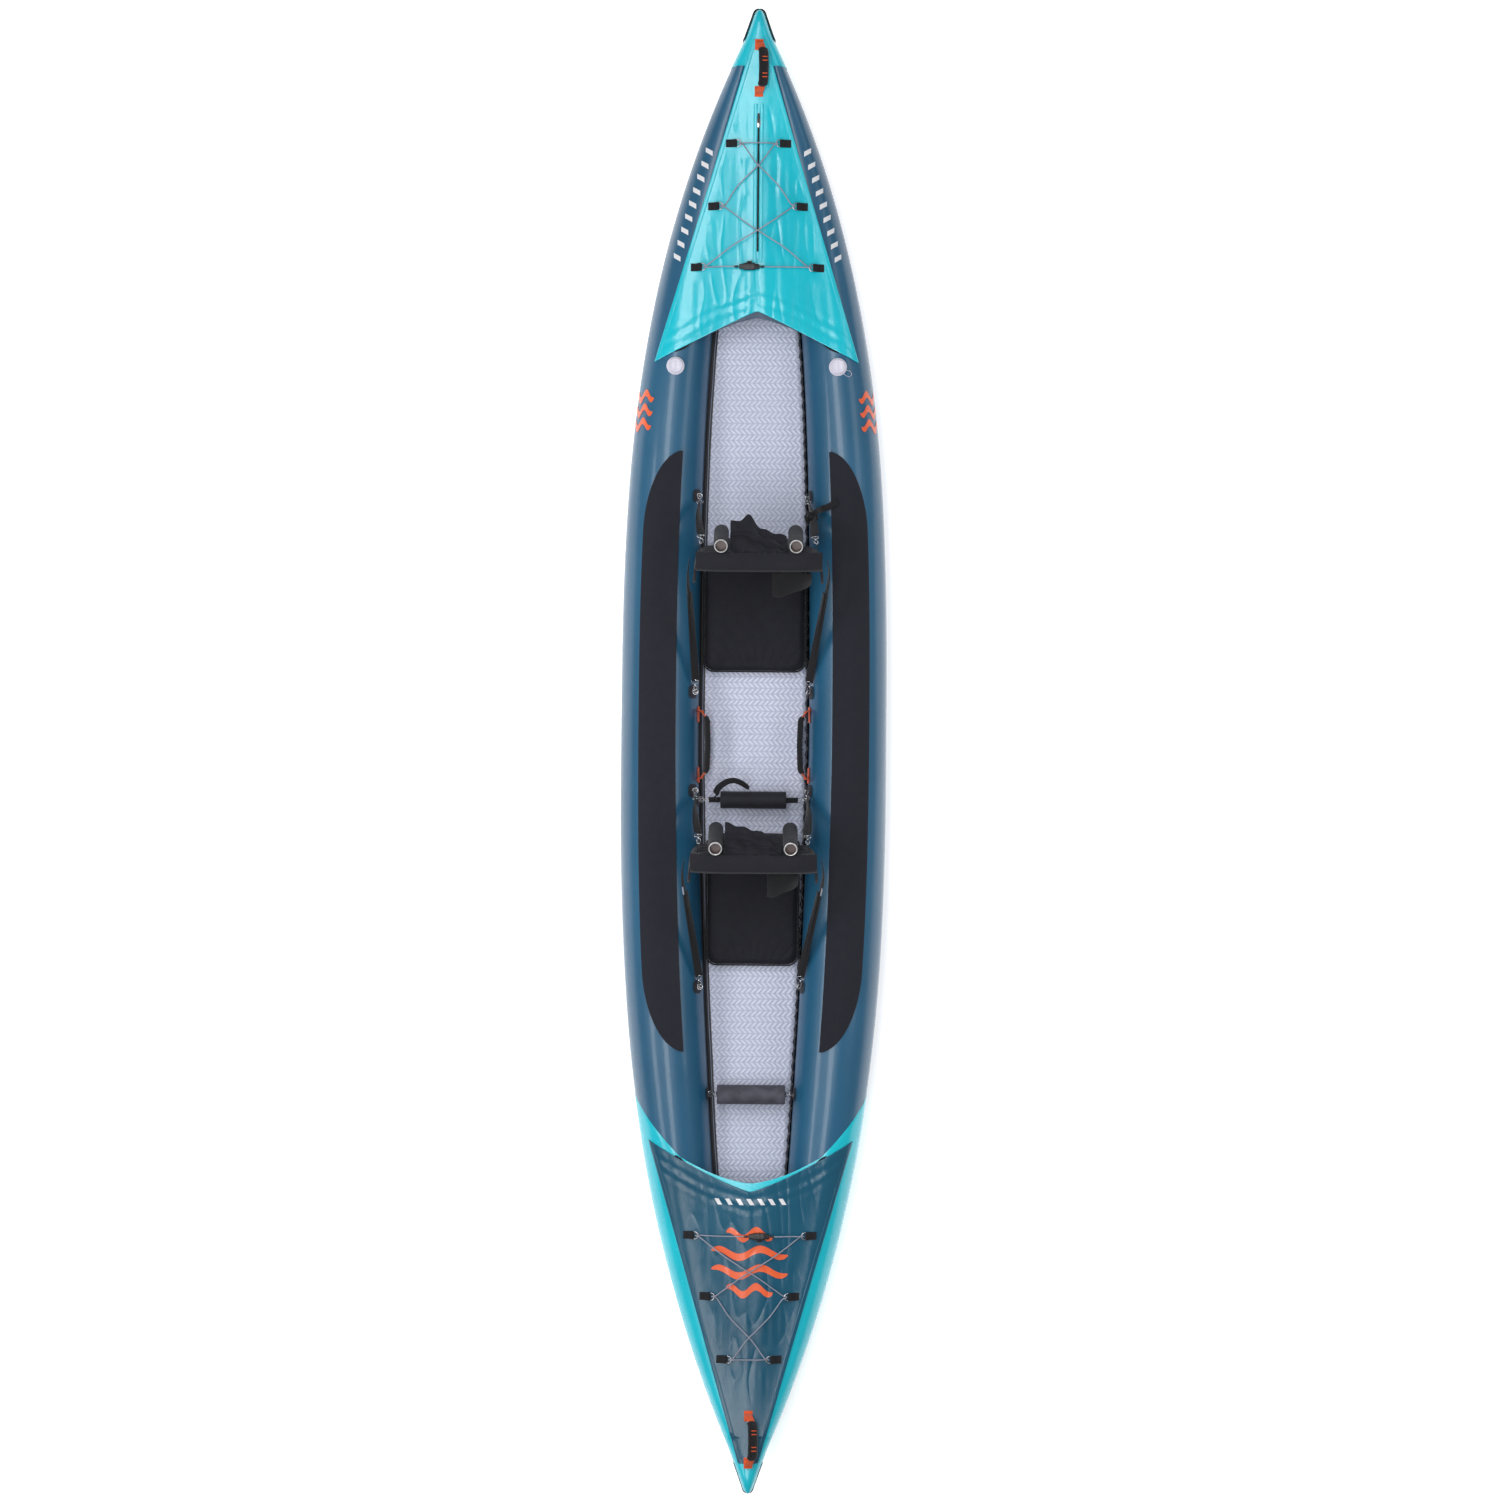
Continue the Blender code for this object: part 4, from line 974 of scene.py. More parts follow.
def make_lacing_ring(end, row, side, label):
    """A steel D-ring in a stitched webbing loop."""
    name = f"{end}_ring_{row}_{label}"
    frame_here = deck_frame(side * ring_x(row), ENDS[end] * LACING_ROWS[row], 0, inboard=True)
    bow = [math.radians(a) for a in spaced(-118, 118, 21)]
    wire = [(RING_RADIUS * math.cos(a), RING_RADIUS * math.sin(a), RING_LIFT) for a in bow]
    wire = [*wire, *finer([wire[-1], wire[0]], 4)[1:-1]]
    ring = cord_tube(
        name + "_wire", [frame_here @ Vector(p) for p in wire], RING_WIRE, LOOKS["steel"], 10, loop=True
    )
    loop = ((-0.037, 0.0012), (-0.020, 0.0016), (-0.009, 0.0052), (-0.0045, 0.0062), (-0.0012, 0.0088),
            (-0.0045, 0.0122), (-0.011, 0.0105), (-0.021, 0.0052), (-0.037, 0.0034))
    across = frame_here.to_3x3() @ Vector((0, 1, 0))
    path = smooth_path([frame_here @ Vector((x, 0, z)) for x, z in loop], 4)
    tab = sweep(
        name + "_tab", path, LOOKS["webbing"], lambda t: webbing(0.0122, 0.0008), sides=[across] * len(path)
    )
    seams = []
    for x in (-0.034, -0.029, -0.015):
        ends = [frame_here @ Vector((x, y, 0.0046 if x < -0.02 else 0.0078)) for y in (-0.010, 0.010)]
        seams.append(stitches(finer(ends, 30)))
    settle(join(name + "_fitting", [ring, tab, *seams]), "hull", "steel", name)


def lacing_route(end):
    """The bungee's route as the CAD lays it: rings in turn, over one bar and back under it."""
    stops = (("a", 1), ("b", -1), ("c", 1), ("c", -1), ("b", 1), ("a", -1))
    sign = ENDS[end]
    over = RING_LIFT + RING_WIRE + BUNGEE_RADIUS + 0.0012
    under = RING_LIFT - RING_WIRE - BUNGEE_RADIUS - 0.0012

    def at(x, y, lift):
        return deck_frame(x, y, lift).translation

    y_a = sign * LACING_ROWS["a"]
    half_lock = LOCK_SIZE[0] / 2 + 0.0005
    start = LOCK_SHIFT[end] + half_lock
    lock_z = deck_top(LOCK_SHIFT[end], y_a) + LOCK_LIFT + LOCK_SIZE[2] / 2
    straight = (0.0, 0.012, 0.030)
    route = [Vector((start + along, y_a, lock_z)) for along in straight]
    route.append(at((start + ring_x("a")) / 2 + 0.010, y_a, 0.010))
    for i, (row, side) in enumerate(stops):
        x, y = side * ring_x(row), sign * LACING_ROWS[row]
        before = route[-1]
        bar = side * (ring_x(row) - RING_RADIUS)
        come = (before.x - bar, before.y - y)
        lean = 0.006 * come[1] / max(0.01, math.hypot(*come))
        route.append(at(bar - side * 0.008, y + lean * 1.6, over))
        route.append(at(bar, y + lean, over))
        route.append(at(bar + side * 0.0075, y, RING_LIFT))
        leave = 0.0 if i == 5 else sign * LACING_ROWS[stops[i + 1][0]] - y
        lean = math.copysign(0.004, leave) if leave else 0.0
        route.append(at(bar, y + lean, under))
        route.append(at(bar - side * 0.008, y + lean * 1.6, under))
        if i == 5:
            continue
        next_row, next_side = stops[i + 1]
        to_x, to_y = next_side * ring_x(next_row), sign * LACING_ROWS[next_row]
        high = (0.0125 if i >= 3 else 0.0075) + LACING_SPARE[end]
        for share in (0.3, 0.5, 0.7):
            route.append(at(x + (to_x - x) * share, y + (to_y - y) * share, high))
    end_x = LOCK_SHIFT[end] - half_lock
    route.append(at((end_x - ring_x("a")) / 2 - 0.010, y_a, 0.009))
    return [*route, *[Vector((end_x - along, y_a, lock_z)) for along in reversed(straight)]]


def make_bungee(end):
    path = smooth_path(lacing_route(end), 6)
    cord = cord_tube(end + "_shock_cord", path, BUNGEE_RADIUS, LOOKS["cord"])
    settle(cord, "hull", "cord_grey", end + "_bungee")


def squared_ring(x, half_y, half_z, centre, power, count=28):
    ring = []
    for i in range(count):
        c, s = math.cos(math.tau * i / count), math.sin(math.tau * i / count)
        y = half_y * math.copysign(abs(c) ** (2 / power), c)
        z = half_z * math.copysign(abs(s) ** (2 / power), s)
        ring.append(centre + Vector((x, y, z)))
    return ring


def make_cord_lock(end):
    """The cord lock: a waisted body with ribbed cheeks, a sleeve on each cord end, and its sprung button."""
    sign = ENDS[end]
    x, y = LOCK_SHIFT[end], sign * LACING_ROWS["a"]
    middle = Vector((x, y, deck_top(x, y) + LOCK_LIFT + LOCK_SIZE[2] / 2))
    stations = (
        (-0.033, 0.0035, 0.0035), (-0.0325, 0.0062, 0.0052), (-0.029, 0.0078, 0.0060),
        (-0.020, 0.0085, 0.0062), (-0.018, 0.0108, 0.0068), (-0.010, 0.0118, 0.0070),
        (-0.006, 0.0108, 0.0064), (-0.002, 0.0118, 0.0070),
    )
    stations = [*stations, *[(-x, a, b) for x, a, b in reversed(stations)]]
    body = skin(end + "_lock_body", [squared_ring(*s, middle, 4.0) for s in stations], LOOKS["plastic"],
                ring=True, caps=True, sharp=40)
    sleeves = []
    for way in (-1, 1):
        ends = [middle + Vector((way * 0.0335, 0, 0)), middle + Vector((way * 0.049, 0, 0.0002))]
        sleeves.append(cord_tube("sleeve", finer(ends, 8), 0.0034, LOOKS["plastic"], 14))
    settle(join(end + "_lock_housing", [body, *sleeves]), "hull", "plastic_black", end + "_cord_lock")
    low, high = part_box(end + "_lock_button")
    centre = (Vector(low) + Vector(high)) / 2
    half = (Vector(high) - Vector(low)) / 2
    rows = []
    for share, shrink in (
        (-1, 0.9), (-0.96, 1.0), (0.70, 1.0), (0.74, 0.92), (0.79, 0.92), (0.83, 1.0), (0.95, 0.97), (1, 0.85)
    ):
        ring = []
        for i in range(24):
            c, s = math.cos(math.tau * i / 24), math.sin(math.tau * i / 24)
            px = half.x * shrink * math.copysign(abs(c) ** 0.55, c)
            pz = half.z * shrink * math.copysign(abs(s) ** 0.55, s)
            ring.append(centre + Vector((px, sign * half.y * share, pz)))
        rows.append(ring)
    button = skin(end + "_lock_plunger_cap", rows, LOOKS["plastic"], ring=True, caps=True, sharp=45)
    settle(button, end + "_lock_plunger", "plastic_black", end + "_lock_button")


def make_zip():
    """The stern zip: coil teeth on a dark tape between two welted edges, and a slider with its pull."""
    first, last = 1.590, 2.030
    ys = spaced(first, last, 150)
    tape = sweep("zip_tape", [Vector((0, y, deck_top(0, y) + 0.0014)) for y in ys], LOOKS["webbing"],
                 lambda t: webbing(0.0030, 0.0006), sides=[Vector((1, 0, 0))] * 150)
    pieces = [tape]
    count = 150
    for side in (-1, 1):
        teeth = [Vector((side * 0.0009, y, deck_top(0, y) + 0.0024)) for y in spaced(first, last, 4 * count)]
        coil = sweep("teeth", teeth, LOOKS["plastic"],
                     lambda t: circle(0.0005 + 0.00035 * abs(math.sin(math.pi * count * t)), 6))
        pieces.append(coil)
    settle(join("zip_teeth", pieces), "hull", "webbing_black", "stern_zip_tape")
    for label, side in SIDES.items():
        path = [
            Vector((side * 0.0095, y, deck_top(0.0095, y) + 0.0014))
            for y in spaced(first - 0.035, last + 0.03, 90)
        ]
        welt = sweep("zip_welt_" + label, path, LOOKS["teal_gloss"], lambda t: webbing(0.0060, 0.0016),
                     sides=[Vector((1, 0, 0))] * 90)
        settle(welt, "hull", "pvc_teal")
    low, high = (Vector(c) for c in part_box("stern_zip_slider"))
    place = (low + high) / 2
    slope = math.atan2(deck_top(0, place.y + 0.01) - deck_top(0, place.y - 0.01), 0.02)
    turn = Matrix.Translation(place) @ Matrix.Rotation(slope, 4, "X")
    rings = []
    for y, half_x, half_z in ((-0.0148, 0.0032, 0.0006), (-0.0142, 0.0044, 0.0010), (-0.004, 0.0058, 0.0011),
                              (0.004, 0.0058, 0.0011), (0.0120, 0.0046, 0.0010), (0.0148, 0.0036, 0.0006)):
        ring = [turn @ Vector((half_x * c, y, half_z * s)) for c, s in circle(1.0, 20)]
        rings.append(ring)
    slider = skin("slider", rings, LOOKS["steel"], ring=True, caps=True, sharp=50)
    pull = [
        turn @ Vector(p)
        for p in ((0, -0.002, 0.0016), (0, 0.008, 0.0024), (0, 0.018, 0.0020), (0, 0.028, 0.0016))
    ]
    tongue = sweep("pull", smooth_path(pull, 6), LOOKS["plastic"], lambda t: webbing(0.0034, 0.0008))
    settle(join("zip_slider_pull", [slider, tongue]), "zip_slider", "plastic_black", "stern_zip_slider")


# ---------------------------------------------------------------- carry handles


def bail_path(place, length, rise, steps):
    """The handle's bail, as in the CAD: it turns about the frame's Y axis."""
    half = length / 2
    shape = ((0.010, 0.004), (0.022, rise * 0.55), (0.040, rise * 0.95), (0.056, rise))
    along = [*[(in_by - half, z) for in_by, z in shape], (0.0, rise + 0.002)]
    along += [(half - in_by, z) for in_by, z in reversed(shape)]
    return smooth_path([place @ Vector((0, y, z)) for y, z in along], steps)


def make_leg(name, foot, run, foot_side, across):
    """Webbing from its sewn patch up to where the bail stands clear, turning from the patch's lie to the
    bail's.
    """
    if foot_side.dot(across) < 0:
        foot_side = -foot_side
    path = smooth_path([foot, run[0], run[len(run) // 2], run[-1]], 8)
    sides = [foot_side.lerp(across, ease(i / (len(path) - 1))).normalized() for i in range(len(path))]
    leg = sweep(name, path, LOOKS["orange"], lambda t: webbing(BAIL_HALF_WIDTH, 0.0012), sides=sides)
    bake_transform(leg)


def make_grip(name, body, slot_node, place, length, rise, feet, foot_side):
    """Orange webbing with a ribbed cover round its middle, four orange lines woven across the cover's top."""
    across = place.to_3x3() @ Vector((1, 0, 0))
    outward = place.to_3x3() @ Vector((0, 0, 1))
    path = bail_path(place, length, rise, 12)
    cut = sum(1 for p in path if (p - path[0]).length < LEG_REACH)
    make_leg(name + "_leg_bow", feet[0], path[: cut + 1], foot_side, across)
    make_leg(name + "_leg_stern", feet[1], path[: -cut - 2 : -1], foot_side, across)
    middle = path[cut:-cut]
    bail = sweep(name + "_bail", middle, LOOKS["orange"], lambda t: webbing(BAIL_HALF_WIDTH, 0.0011),
                 sides=[across] * len(middle))
    half = length / 2
    along = place.to_3x3() @ Vector((0, 1, 0))
    inner = [p for p in path if (p - place.translation).dot(along) ** 2 < (half - GRIP_START) ** 2]
    inner = finer(inner, 5)
    long = sum((b - a).length for a, b in zip(inner, inner[1:]))
    ribs = round(long / 0.0052)

    def cover(share):
        end = min(share, 1 - share) * long
        shrink = 0.72 + 0.28 * ease(end / 0.006)
        rib = 1 + 0.045 * math.cos(math.tau * ribs * share)
        ring = []
        for c, s in circle(1.0, 28):
            wide = 0.0165 * shrink * math.copysign(abs(c) ** 0.8, c)
            tall = 0.0080 * shrink * rib * math.copysign(abs(s) ** 0.9, s)
            ring.append((wide, tall))
        return ring

    grip = sweep(name + "_cover", inner, LOOKS["grip"], cover, sides=[across] * len(inner))
    lines = []
    for share in (0.30, 0.38, 0.62, 0.70):
        point = inner[round(share * (len(inner) - 1))]
        bend = [point + across * x + outward * (0.0098 - 22 * x * x) for x in spaced(-0.0085, 0.0085, 9)]
        lines.append(
            sweep("line", bend, LOOKS["orange"], lambda t: webbing(0.0016, 0.0007), sides=[along] * 9)
        )
    settle(join(name + "_grip_piece", [bail, grip, *lines]), body, "grip_rubber", slot_node)


def make_end_handle(end):
    sign = ENDS[end]
    y = sign * END_HANDLE_Y[end]
    half = HANDLE_LENGTH / 2
    patches = []
    for way in (-1, 1):
        ys = spaced(y + way * (half + 0.003), y + way * (half - 0.030), 9)
        path = [Vector((0, py, deck_top(0, py) + 0.0012)) for py in ys]
        patches.append(sweep("patch", path, LOOKS["orange"], lambda t: webbing(PATCH_HALF_WIDTH, 0.0011),
                             sides=[Vector((1, 0, 0))] * 9))
        bar = [
            (x, y + way * (half - 0.007), deck_top(0, y + way * (half - 0.007)) + 0.0028)
            for x in (-0.011, 0.011)
        ]
        patches.append(stitches(finer(bar, 30)))
        fold = [
            (x, y + way * (half - 0.024), deck_top(0, y + way * (half - 0.024)) + 0.0028)
            for x in (-0.011, 0.011)
        ]
        patches.append(stitches(finer(fold, 30)))
    settle(join(end + "_handle_patches", patches), "hull", "webbing_orange", end + "_handle_base")
    slope = (deck_top(0, y + half) - deck_top(0, y - half)) / HANDLE_LENGTH
    tilt = Matrix.Rotation(math.atan(slope), 4, "X")
    lift = max(deck_top(0, y - half), deck_top(0, y), deck_top(0, y + half)) - deck_top(0, y)
    pivot = Vector((0, y, deck_top(0, y) + HANDLE_CLEAR + lift))
    place = Matrix.Translation(pivot) @ tilt @ Matrix.Rotation(HANDLE_LEAN, 4, "Y")
    feet = [
        Vector((0, foot_y, deck_top(0, foot_y) + 0.0026))
        for foot_y in (y - half + FOOT_IN, y + half - FOOT_IN)
    ]
    make_grip(end + "_handle", end + "_handle", end + "_handle_grip", place, HANDLE_LENGTH, HANDLE_RISE, feet,
              Vector((1, 0, 0)))


def make_side_handle(label, side):
    half = SIDE_HANDLE_LENGTH / 2
    patches = []
    for way in (-1, 1):
        ys = spaced(SIDE_HANDLE_Y + way * (half + 0.004), SIDE_HANDLE_Y + way * (half - 0.046), 9)
        angle = SIDE_HANDLE_ANGLE + math.radians(10)
        path = [tube_point(side, y, angle, 0.0018) for y in ys]
        up = Vector((math.sin(angle) * side, 0, -math.cos(angle)))
        patches.append(
            sweep("patch", path, LOOKS["orange"], lambda t: webbing(PATCH_HALF_WIDTH, 0.0012), sides=[up] * 9)
        )
    settle(join(label + "_handle_patches", patches), "hull", "webbing_orange", label + "_handle_base")
    pivot = tube_point(side, SIDE_HANDLE_Y, SIDE_HANDLE_ANGLE, 0.011)
    hang = Matrix.Rotation(-side * SIDE_HANDLE_HANG, 4, "Y")
    feet = [tube_point(side, SIDE_HANDLE_Y + way * (half - FOOT_IN), angle, 0.0035) for way in (-1, 1)]
    make_grip(label + "_handle", label + "_handle", label + "_handle_grip", Matrix.Translation(pivot) @ hang,
              SIDE_HANDLE_LENGTH, SIDE_HANDLE_RISE, feet, up)


# ---------------------------------------------------------------- valves and prints


def turned(name, profile, place, material, sides=48, teeth=0, tooth=0.0):
    """A solid turned about the frame's Z from its (radius, height) outline; teeth notch its widest part."""
    rows = []
    widest = max(r for r, _ in profile)
    for r, h in profile:
        ring = []
        for i in range(sides):
            turn = math.tau * i / sides
            notch = tooth * (0.5 + 0.5 * math.cos(teeth * turn)) if teeth and r > 0.96 * widest else 0.0
            ring.append(place @ Vector(((r - notch) * math.cos(turn), (r - notch) * math.sin(turn), h)))
        rows.append(ring)
    return skin(name, rows, material, ring=True, caps=True, sharp=40)


def make_valve(label, side):
    """A welded flange, and a push-on cap with a notched rim, a ring of ridges and a bar to grip."""
    low, high = (Vector(c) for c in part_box("valve_body_" + label))
    top = high.z
    x = side * tube_at(VALVE_Y)[0]
    place = Matrix.Translation((x, VALVE_Y, top))
    flange = turned(
        "flange",
        (
            (0.010, -0.009), (0.0285, -0.009), (0.0288, -0.0035), (0.0280, -0.0018), (0.0262, -0.0012),
            (0.0252, 0.0), (0.0205, 0.0),
        ),
        place,
        LOOKS["valve"],
    )
    settle(join("valve_flange_" + label, [flange]), "hull", "valve_white", "valve_body_" + label)
    low, high = (Vector(c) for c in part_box("valve_cap_" + label))
    place = Matrix.Translation((x, VALVE_Y, low.z))
    tall = high.z - low.z
    outline = (
        (0.0190, 0.0), (0.0232, 0.0), (0.0235, 0.0010), (0.0235, tall - 0.0030), (0.0222, tall - 0.0012),
        (0.0205, tall - 0.0006), (0.0195, tall - 0.0020), (0.0170, tall - 0.0024), (0.0160, tall - 0.0010),
        (0.0146, tall - 0.0010), (0.0136, tall - 0.0024), (0.0060, tall - 0.0028),
    )
    cap = turned("cap", outline, place, LOOKS["valve"], 72, teeth=18, tooth=0.0011)
    bar = []
    for y, half_x, height in (
        (-0.0128, 0.0012, 0.0006), (-0.0120, 0.0022, 0.0022), (0.0120, 0.0022, 0.0022),
        (0.0128, 0.0012, 0.0006),
    ):
        bar.append(
            [
                place @ Vector((px, y, tall - 0.0028 + pz * height))
                for px, pz in (
                    (half_x, 0), (half_x, 0.8), (half_x * 0.7, 1), (-half_x * 0.7, 1), (-half_x, 0.8),
                    (-half_x, 0),
                )
            ]
        )
    rib = skin("bar", bar, LOOKS["valve"], ring=True, caps=True, sharp=40)
    settle(
        join("valve_cap_piece_" + label, [cap, rib]),
        label + "_valve_cap",
        "valve_white",
        "valve_cap_" + label,
    )
    if side > 0:
        z = top - 0.006
        points = [
            (x + 0.022, VALVE_Y - 0.012, z + 0.004), (x + 0.036, VALVE_Y - 0.012, z),
            (x + 0.044, VALVE_Y - 0.021, z - 0.005), (x + 0.037, VALVE_Y - 0.030, z - 0.003),
            (x + 0.024, VALVE_Y - 0.026, z + 0.001), (x + 0.017, VALVE_Y - 0.019, z + 0.003),
        ]
        loop = sweep("valve_strap", smooth_path(points, 8), LOOKS["valve"], lambda t: webbing(0.0022, 0.0008),
                     sides=[Vector((0, 0, 1))] * 41)
        settle(loop, "hull", "valve_white")


def print_on(name, shapes, height, material, body_slot):
    """Thin printed shapes laid on a surface; each shape is rows of (x, y) points."""
    pieces = []
    for rows in shapes:
        placed = [[Vector((x, y, height(x, y))) for x, y in row] for row in rows]
        pieces.append(skin("print", placed, material))
    settle(join(name, pieces), "hull", body_slot)


def wave_stripe(cx, cy, length, width, swing, tilt=0.0):
    """A wavy stripe with tapering ends, as rows across it."""
    rows = []
    for t in spaced(-1, 1, 61):
        half = width / 2 * math.sqrt(max(0.003, 1 - t**4))
        row = []
        for share in spaced(-1, 1, 9):
            u = t * length / 2
            v = swing * math.sin(t * math.tau * 0.9) + share * half
            row.append(
                (cx + u * math.cos(tilt) - v * math.sin(tilt), cy + u * math.sin(tilt) + v * math.cos(tilt))
            )
        rows.append(row)
    return rows


def make_prints():
    """Plain wave stripes and slanting bars where the real boat is printed."""
    def bow_height(x, y):
        return deck_top(x, y) + deck_folds("bow", x, y) + 0.0012

    lengths = (0.15, 0.245, 0.245, 0.15)
    waves = [wave_stripe(0, -1.535 - 0.060 * k, length, 0.024, 0.013) for k, length in enumerate(lengths)]
    print_on("bow_wave_print", waves, bow_height, LOOKS["orange_print"], "pvc_blue_gloss")
    bars = []
    for k in range(7):
        x = (k - 3) * 0.034
        bars.append(
            [
                [(x - 0.012 + 0.012 * t + 0.014 * s, -1.420 - 0.020 * t) for s in spaced(0, 1, 9)]
                for t in spaced(0, 1, 7)
            ]
        )
    print_on("bow_bar_print", bars, bow_height, LOOKS["white_print"], "pvc_blue_gloss")
    for label, side in SIDES.items():
        def tube_height(x, y):
            return hull_top(x, y) + 0.0009

        shapes = []
        for k in range(9):
            y = 1.56 + 0.042 * k
            edge = deck_edge("stern", y)
            wide = half_width(y) - edge
            near = edge + 0.22 * wide
            shapes.append(
                [
                    [(side * (near + 0.30 * wide * s), y + 0.014 * s + 0.016 * t) for s in spaced(0, 1, 17)]
                    for t in spaced(0, 1, 9)
                ]
            )
        print_on("stern_bar_print_" + label, shapes, tube_height, LOOKS["white_print"], "pvc_blue")
        shapes = []
        for k in (-1, 0, 1):
            rows = []
            for t in spaced(-1, 1, 41):
                angle = math.radians(33 + 26 * t)
                half = 0.011 * math.sqrt(max(0.01, 1 - t**4))
                y = 1.085 + 0.045 * k + 0.012 * math.sin(t * math.tau * 0.9)
                rows.append(
                    [tube_point(side, y + share * half, angle, 0.0012) for share in (-1, -0.5, 0, 0.5, 1)]
                )
            shapes.append(skin("print", rows, LOOKS["orange_print"]))
        settle(join("flank_wave_print_" + label, shapes), "hull", "pvc_blue")


# ---------------------------------------------------------------- seats


def rounded_outline(half_x, low, high, corner, steps=9):
    points = []
    for right, up, start in ((1, 1, 0), (-1, 1, 90), (-1, 0, 180), (1, 0, 270)):
        centre_y = high - corner if up else low + corner
        for i in range(steps + 1):
            angle = math.radians(start + 90 * i / steps)
            points.append(
                (right * (half_x - corner) + corner * math.cos(angle), centre_y + corner * math.sin(angle))
            )
    return points


def slab(name, half_x, span, thick, corner, rounding, place, material):
    """A soft-edged panel: its outline drawn in towards both faces. thick is its (low, high) along Z."""
    outline = rounded_outline(half_x, span[0], span[1], corner)
    middle = (span[0] + span[1]) / 2
    rows = []
    for turn in spaced(-90, 90, 9):
        angle = math.radians(turn)
        inset = rounding * (1 - math.cos(angle))
        level = thick[0] + rounding if turn <= 0 else thick[1] - rounding
        z = level + rounding * math.sin(angle)
        tall = (span[1] - span[0]) / 2
        rows.append(
            [
                place @ Vector((x * (1 - inset / half_x), middle + (y - middle) * (1 - inset / tall), z))
                for x, y in outline
            ]
        )
    return skin(name, rows, material, ring=True, caps=True)


def puff(piece, along, cap, sideways=0.0015):
    """Fills a stuffed piece: a short cloth run with air inside. No point moves more than cap along the
    piece's own thickness, or more than sideways across it."""
    scene = bpy.context.scene
    grain = piece.modifiers.new("grain", "REMESH")
    grain.mode = "VOXEL"
    grain.voxel_size = 0.0055
    replace_by_evaluated(piece)
    start = [v.co.copy() for v in piece.data.vertices]
    cloth = piece.modifiers.new("air", "CLOTH")
    cloth.settings.use_pressure = True
    cloth.settings.uniform_pressure_force = 4.0
    cloth.settings.effector_weights.gravity = 0.0
    cloth.collision_settings.use_collision = False
    cloth.point_cache.frame_end = 20
    for frame_number in range(1, 21):
        scene.frame_set(frame_number)
    replace_by_evaluated(piece)
    scene.frame_set(1)
    for vertex, old in zip(piece.data.vertices, start):
        moved = vertex.co - old
        rise = max(-cap, min(cap, moved.dot(along)))
        across = moved - along * moved.dot(along)
        if across.length > sideways:
            across *= sideways / across.length
        vertex.co = old + along * rise + across


def replace_by_evaluated(piece):
    """Applies the piece's modifiers."""
    shape = piece.evaluated_get(bpy.context.evaluated_depsgraph_get())
    mesh = bpy.data.meshes.new_from_object(shape)
    mesh.materials.clear()
    mesh.materials.append(piece.data.materials[0])
    piece.modifiers.clear()
    piece.data = mesh
    for polygon in mesh.polygons:
        polygon.use_smooth = True


def smoothed(piece):
    piece.modifiers.new("finer", "SUBSURF").render_levels = 1
    piece.modifiers["finer"].levels = 1
    return piece


def make_seat_pad(seat):
    """The pad: filled, creased near its front, and bound round its edge."""
    front, shift, half_x = SEATS[seat], SEAT_SHIFT[seat], PAD_HALF_WIDTH[seat] - 0.003
    low = FLOOR_TOP + 0.001
    place = Matrix.Translation((0, 0, low))
    span = (front + 0.003, front + PAD_LENGTH - 0.003)
    pad = slab(
        seat + "_pad_cushion",
        half_x,
        span,
        (0.001, PAD_THICKNESS - 0.005),
        0.034,
        0.012,
        place,
        LOOKS["seat"],
    )
    puff(pad, Vector((0, 0, 1)), 0.007)
    for vertex in pad.data.vertices:
        x, y, z = vertex.co
        upper = ease((z - low - 0.014) / 0.012)
        near_front = hump(y - front - 0.045, 0.07)
        fan = math.atan2(x - shift, y - front + 0.10)
        crease = (0.5 + 0.5 * math.cos(fan * 38 + 0.8 * rough(x * 9, y * 9, 3))) ** 7
        broad = rough(x * 11, y * 4.5, 7 + shift * 40)
        z -= upper * (0.0034 * near_front * crease + 0.0016 * (broad + 0.6))
        vertex.co.z = max(low, z)
    settle(smoothed(pad), "hull", "seat_fabric", seat + "_seat_pad")
    outline = rounded_outline(half_x + 0.001, front + 0.002, front + PAD_LENGTH - 0.002, 0.035)
    edge = [Vector((x, y, low + PAD_THICKNESS * 0.62)) for x, y in outline]
    binding = sweep(
        seat + "_pad_binding",
        edge,
        LOOKS["webbing"],
        lambda t: webbing(0.0052, 0.0024),
        loop=True,
        sides=[Vector((0, 0, 1))] * len(edge),
    )
    settle(binding, "hull", "seat_fabric")


def make_seat_back(seat):
    """The padded panel, with stitched channels across its front."""
    frame_here = seat_frame(seat)
    normal = frame_here.to_3x3() @ Vector((0, 0, 1))
    half = BACK_HALF_THICKNESS
    panel = slab(
        seat + "_back_cushion",
        BACK_HALF_WIDTH - 0.003,
        (0.007, BACK_HEIGHT - 0.002),
        (-half + 0.003, half - 0.006),
        0.040,
        0.012,
        frame_here,
        LOOKS["seat"],
    )
    puff(panel, normal, 0.006)
    inverse = frame_here.inverted()
    for vertex in panel.data.vertices:
        x, v, n = inverse @ vertex.co
        channel = sum(hump(v - line, 0.012) for line in (0.09, 0.17, 0.25))
        n -= ease(n / 0.008) * (0.005 * channel + 0.0016 * (1 + rough(x * 12, v * 12, 5)))
        vertex.co = frame_here @ Vector((x, v, n))
    settle(smoothed(panel), seat + "_back", "seat_fabric", seat + "_seat_back")
    edge = [
        frame_here @ Vector((x, v, 0.004))
        for x, v in rounded_outline(BACK_HALF_WIDTH - 0.001, 0.006, BACK_HEIGHT, 0.040)
    ]
    binding = sweep(
        seat + "_back_binding",
        edge,
        LOOKS["webbing"],
        lambda t: webbing(0.005, 0.0022),
        loop=True,
        sides=[normal] * len(edge),
    )
    settle(binding, seat + "_back", "seat_fabric")


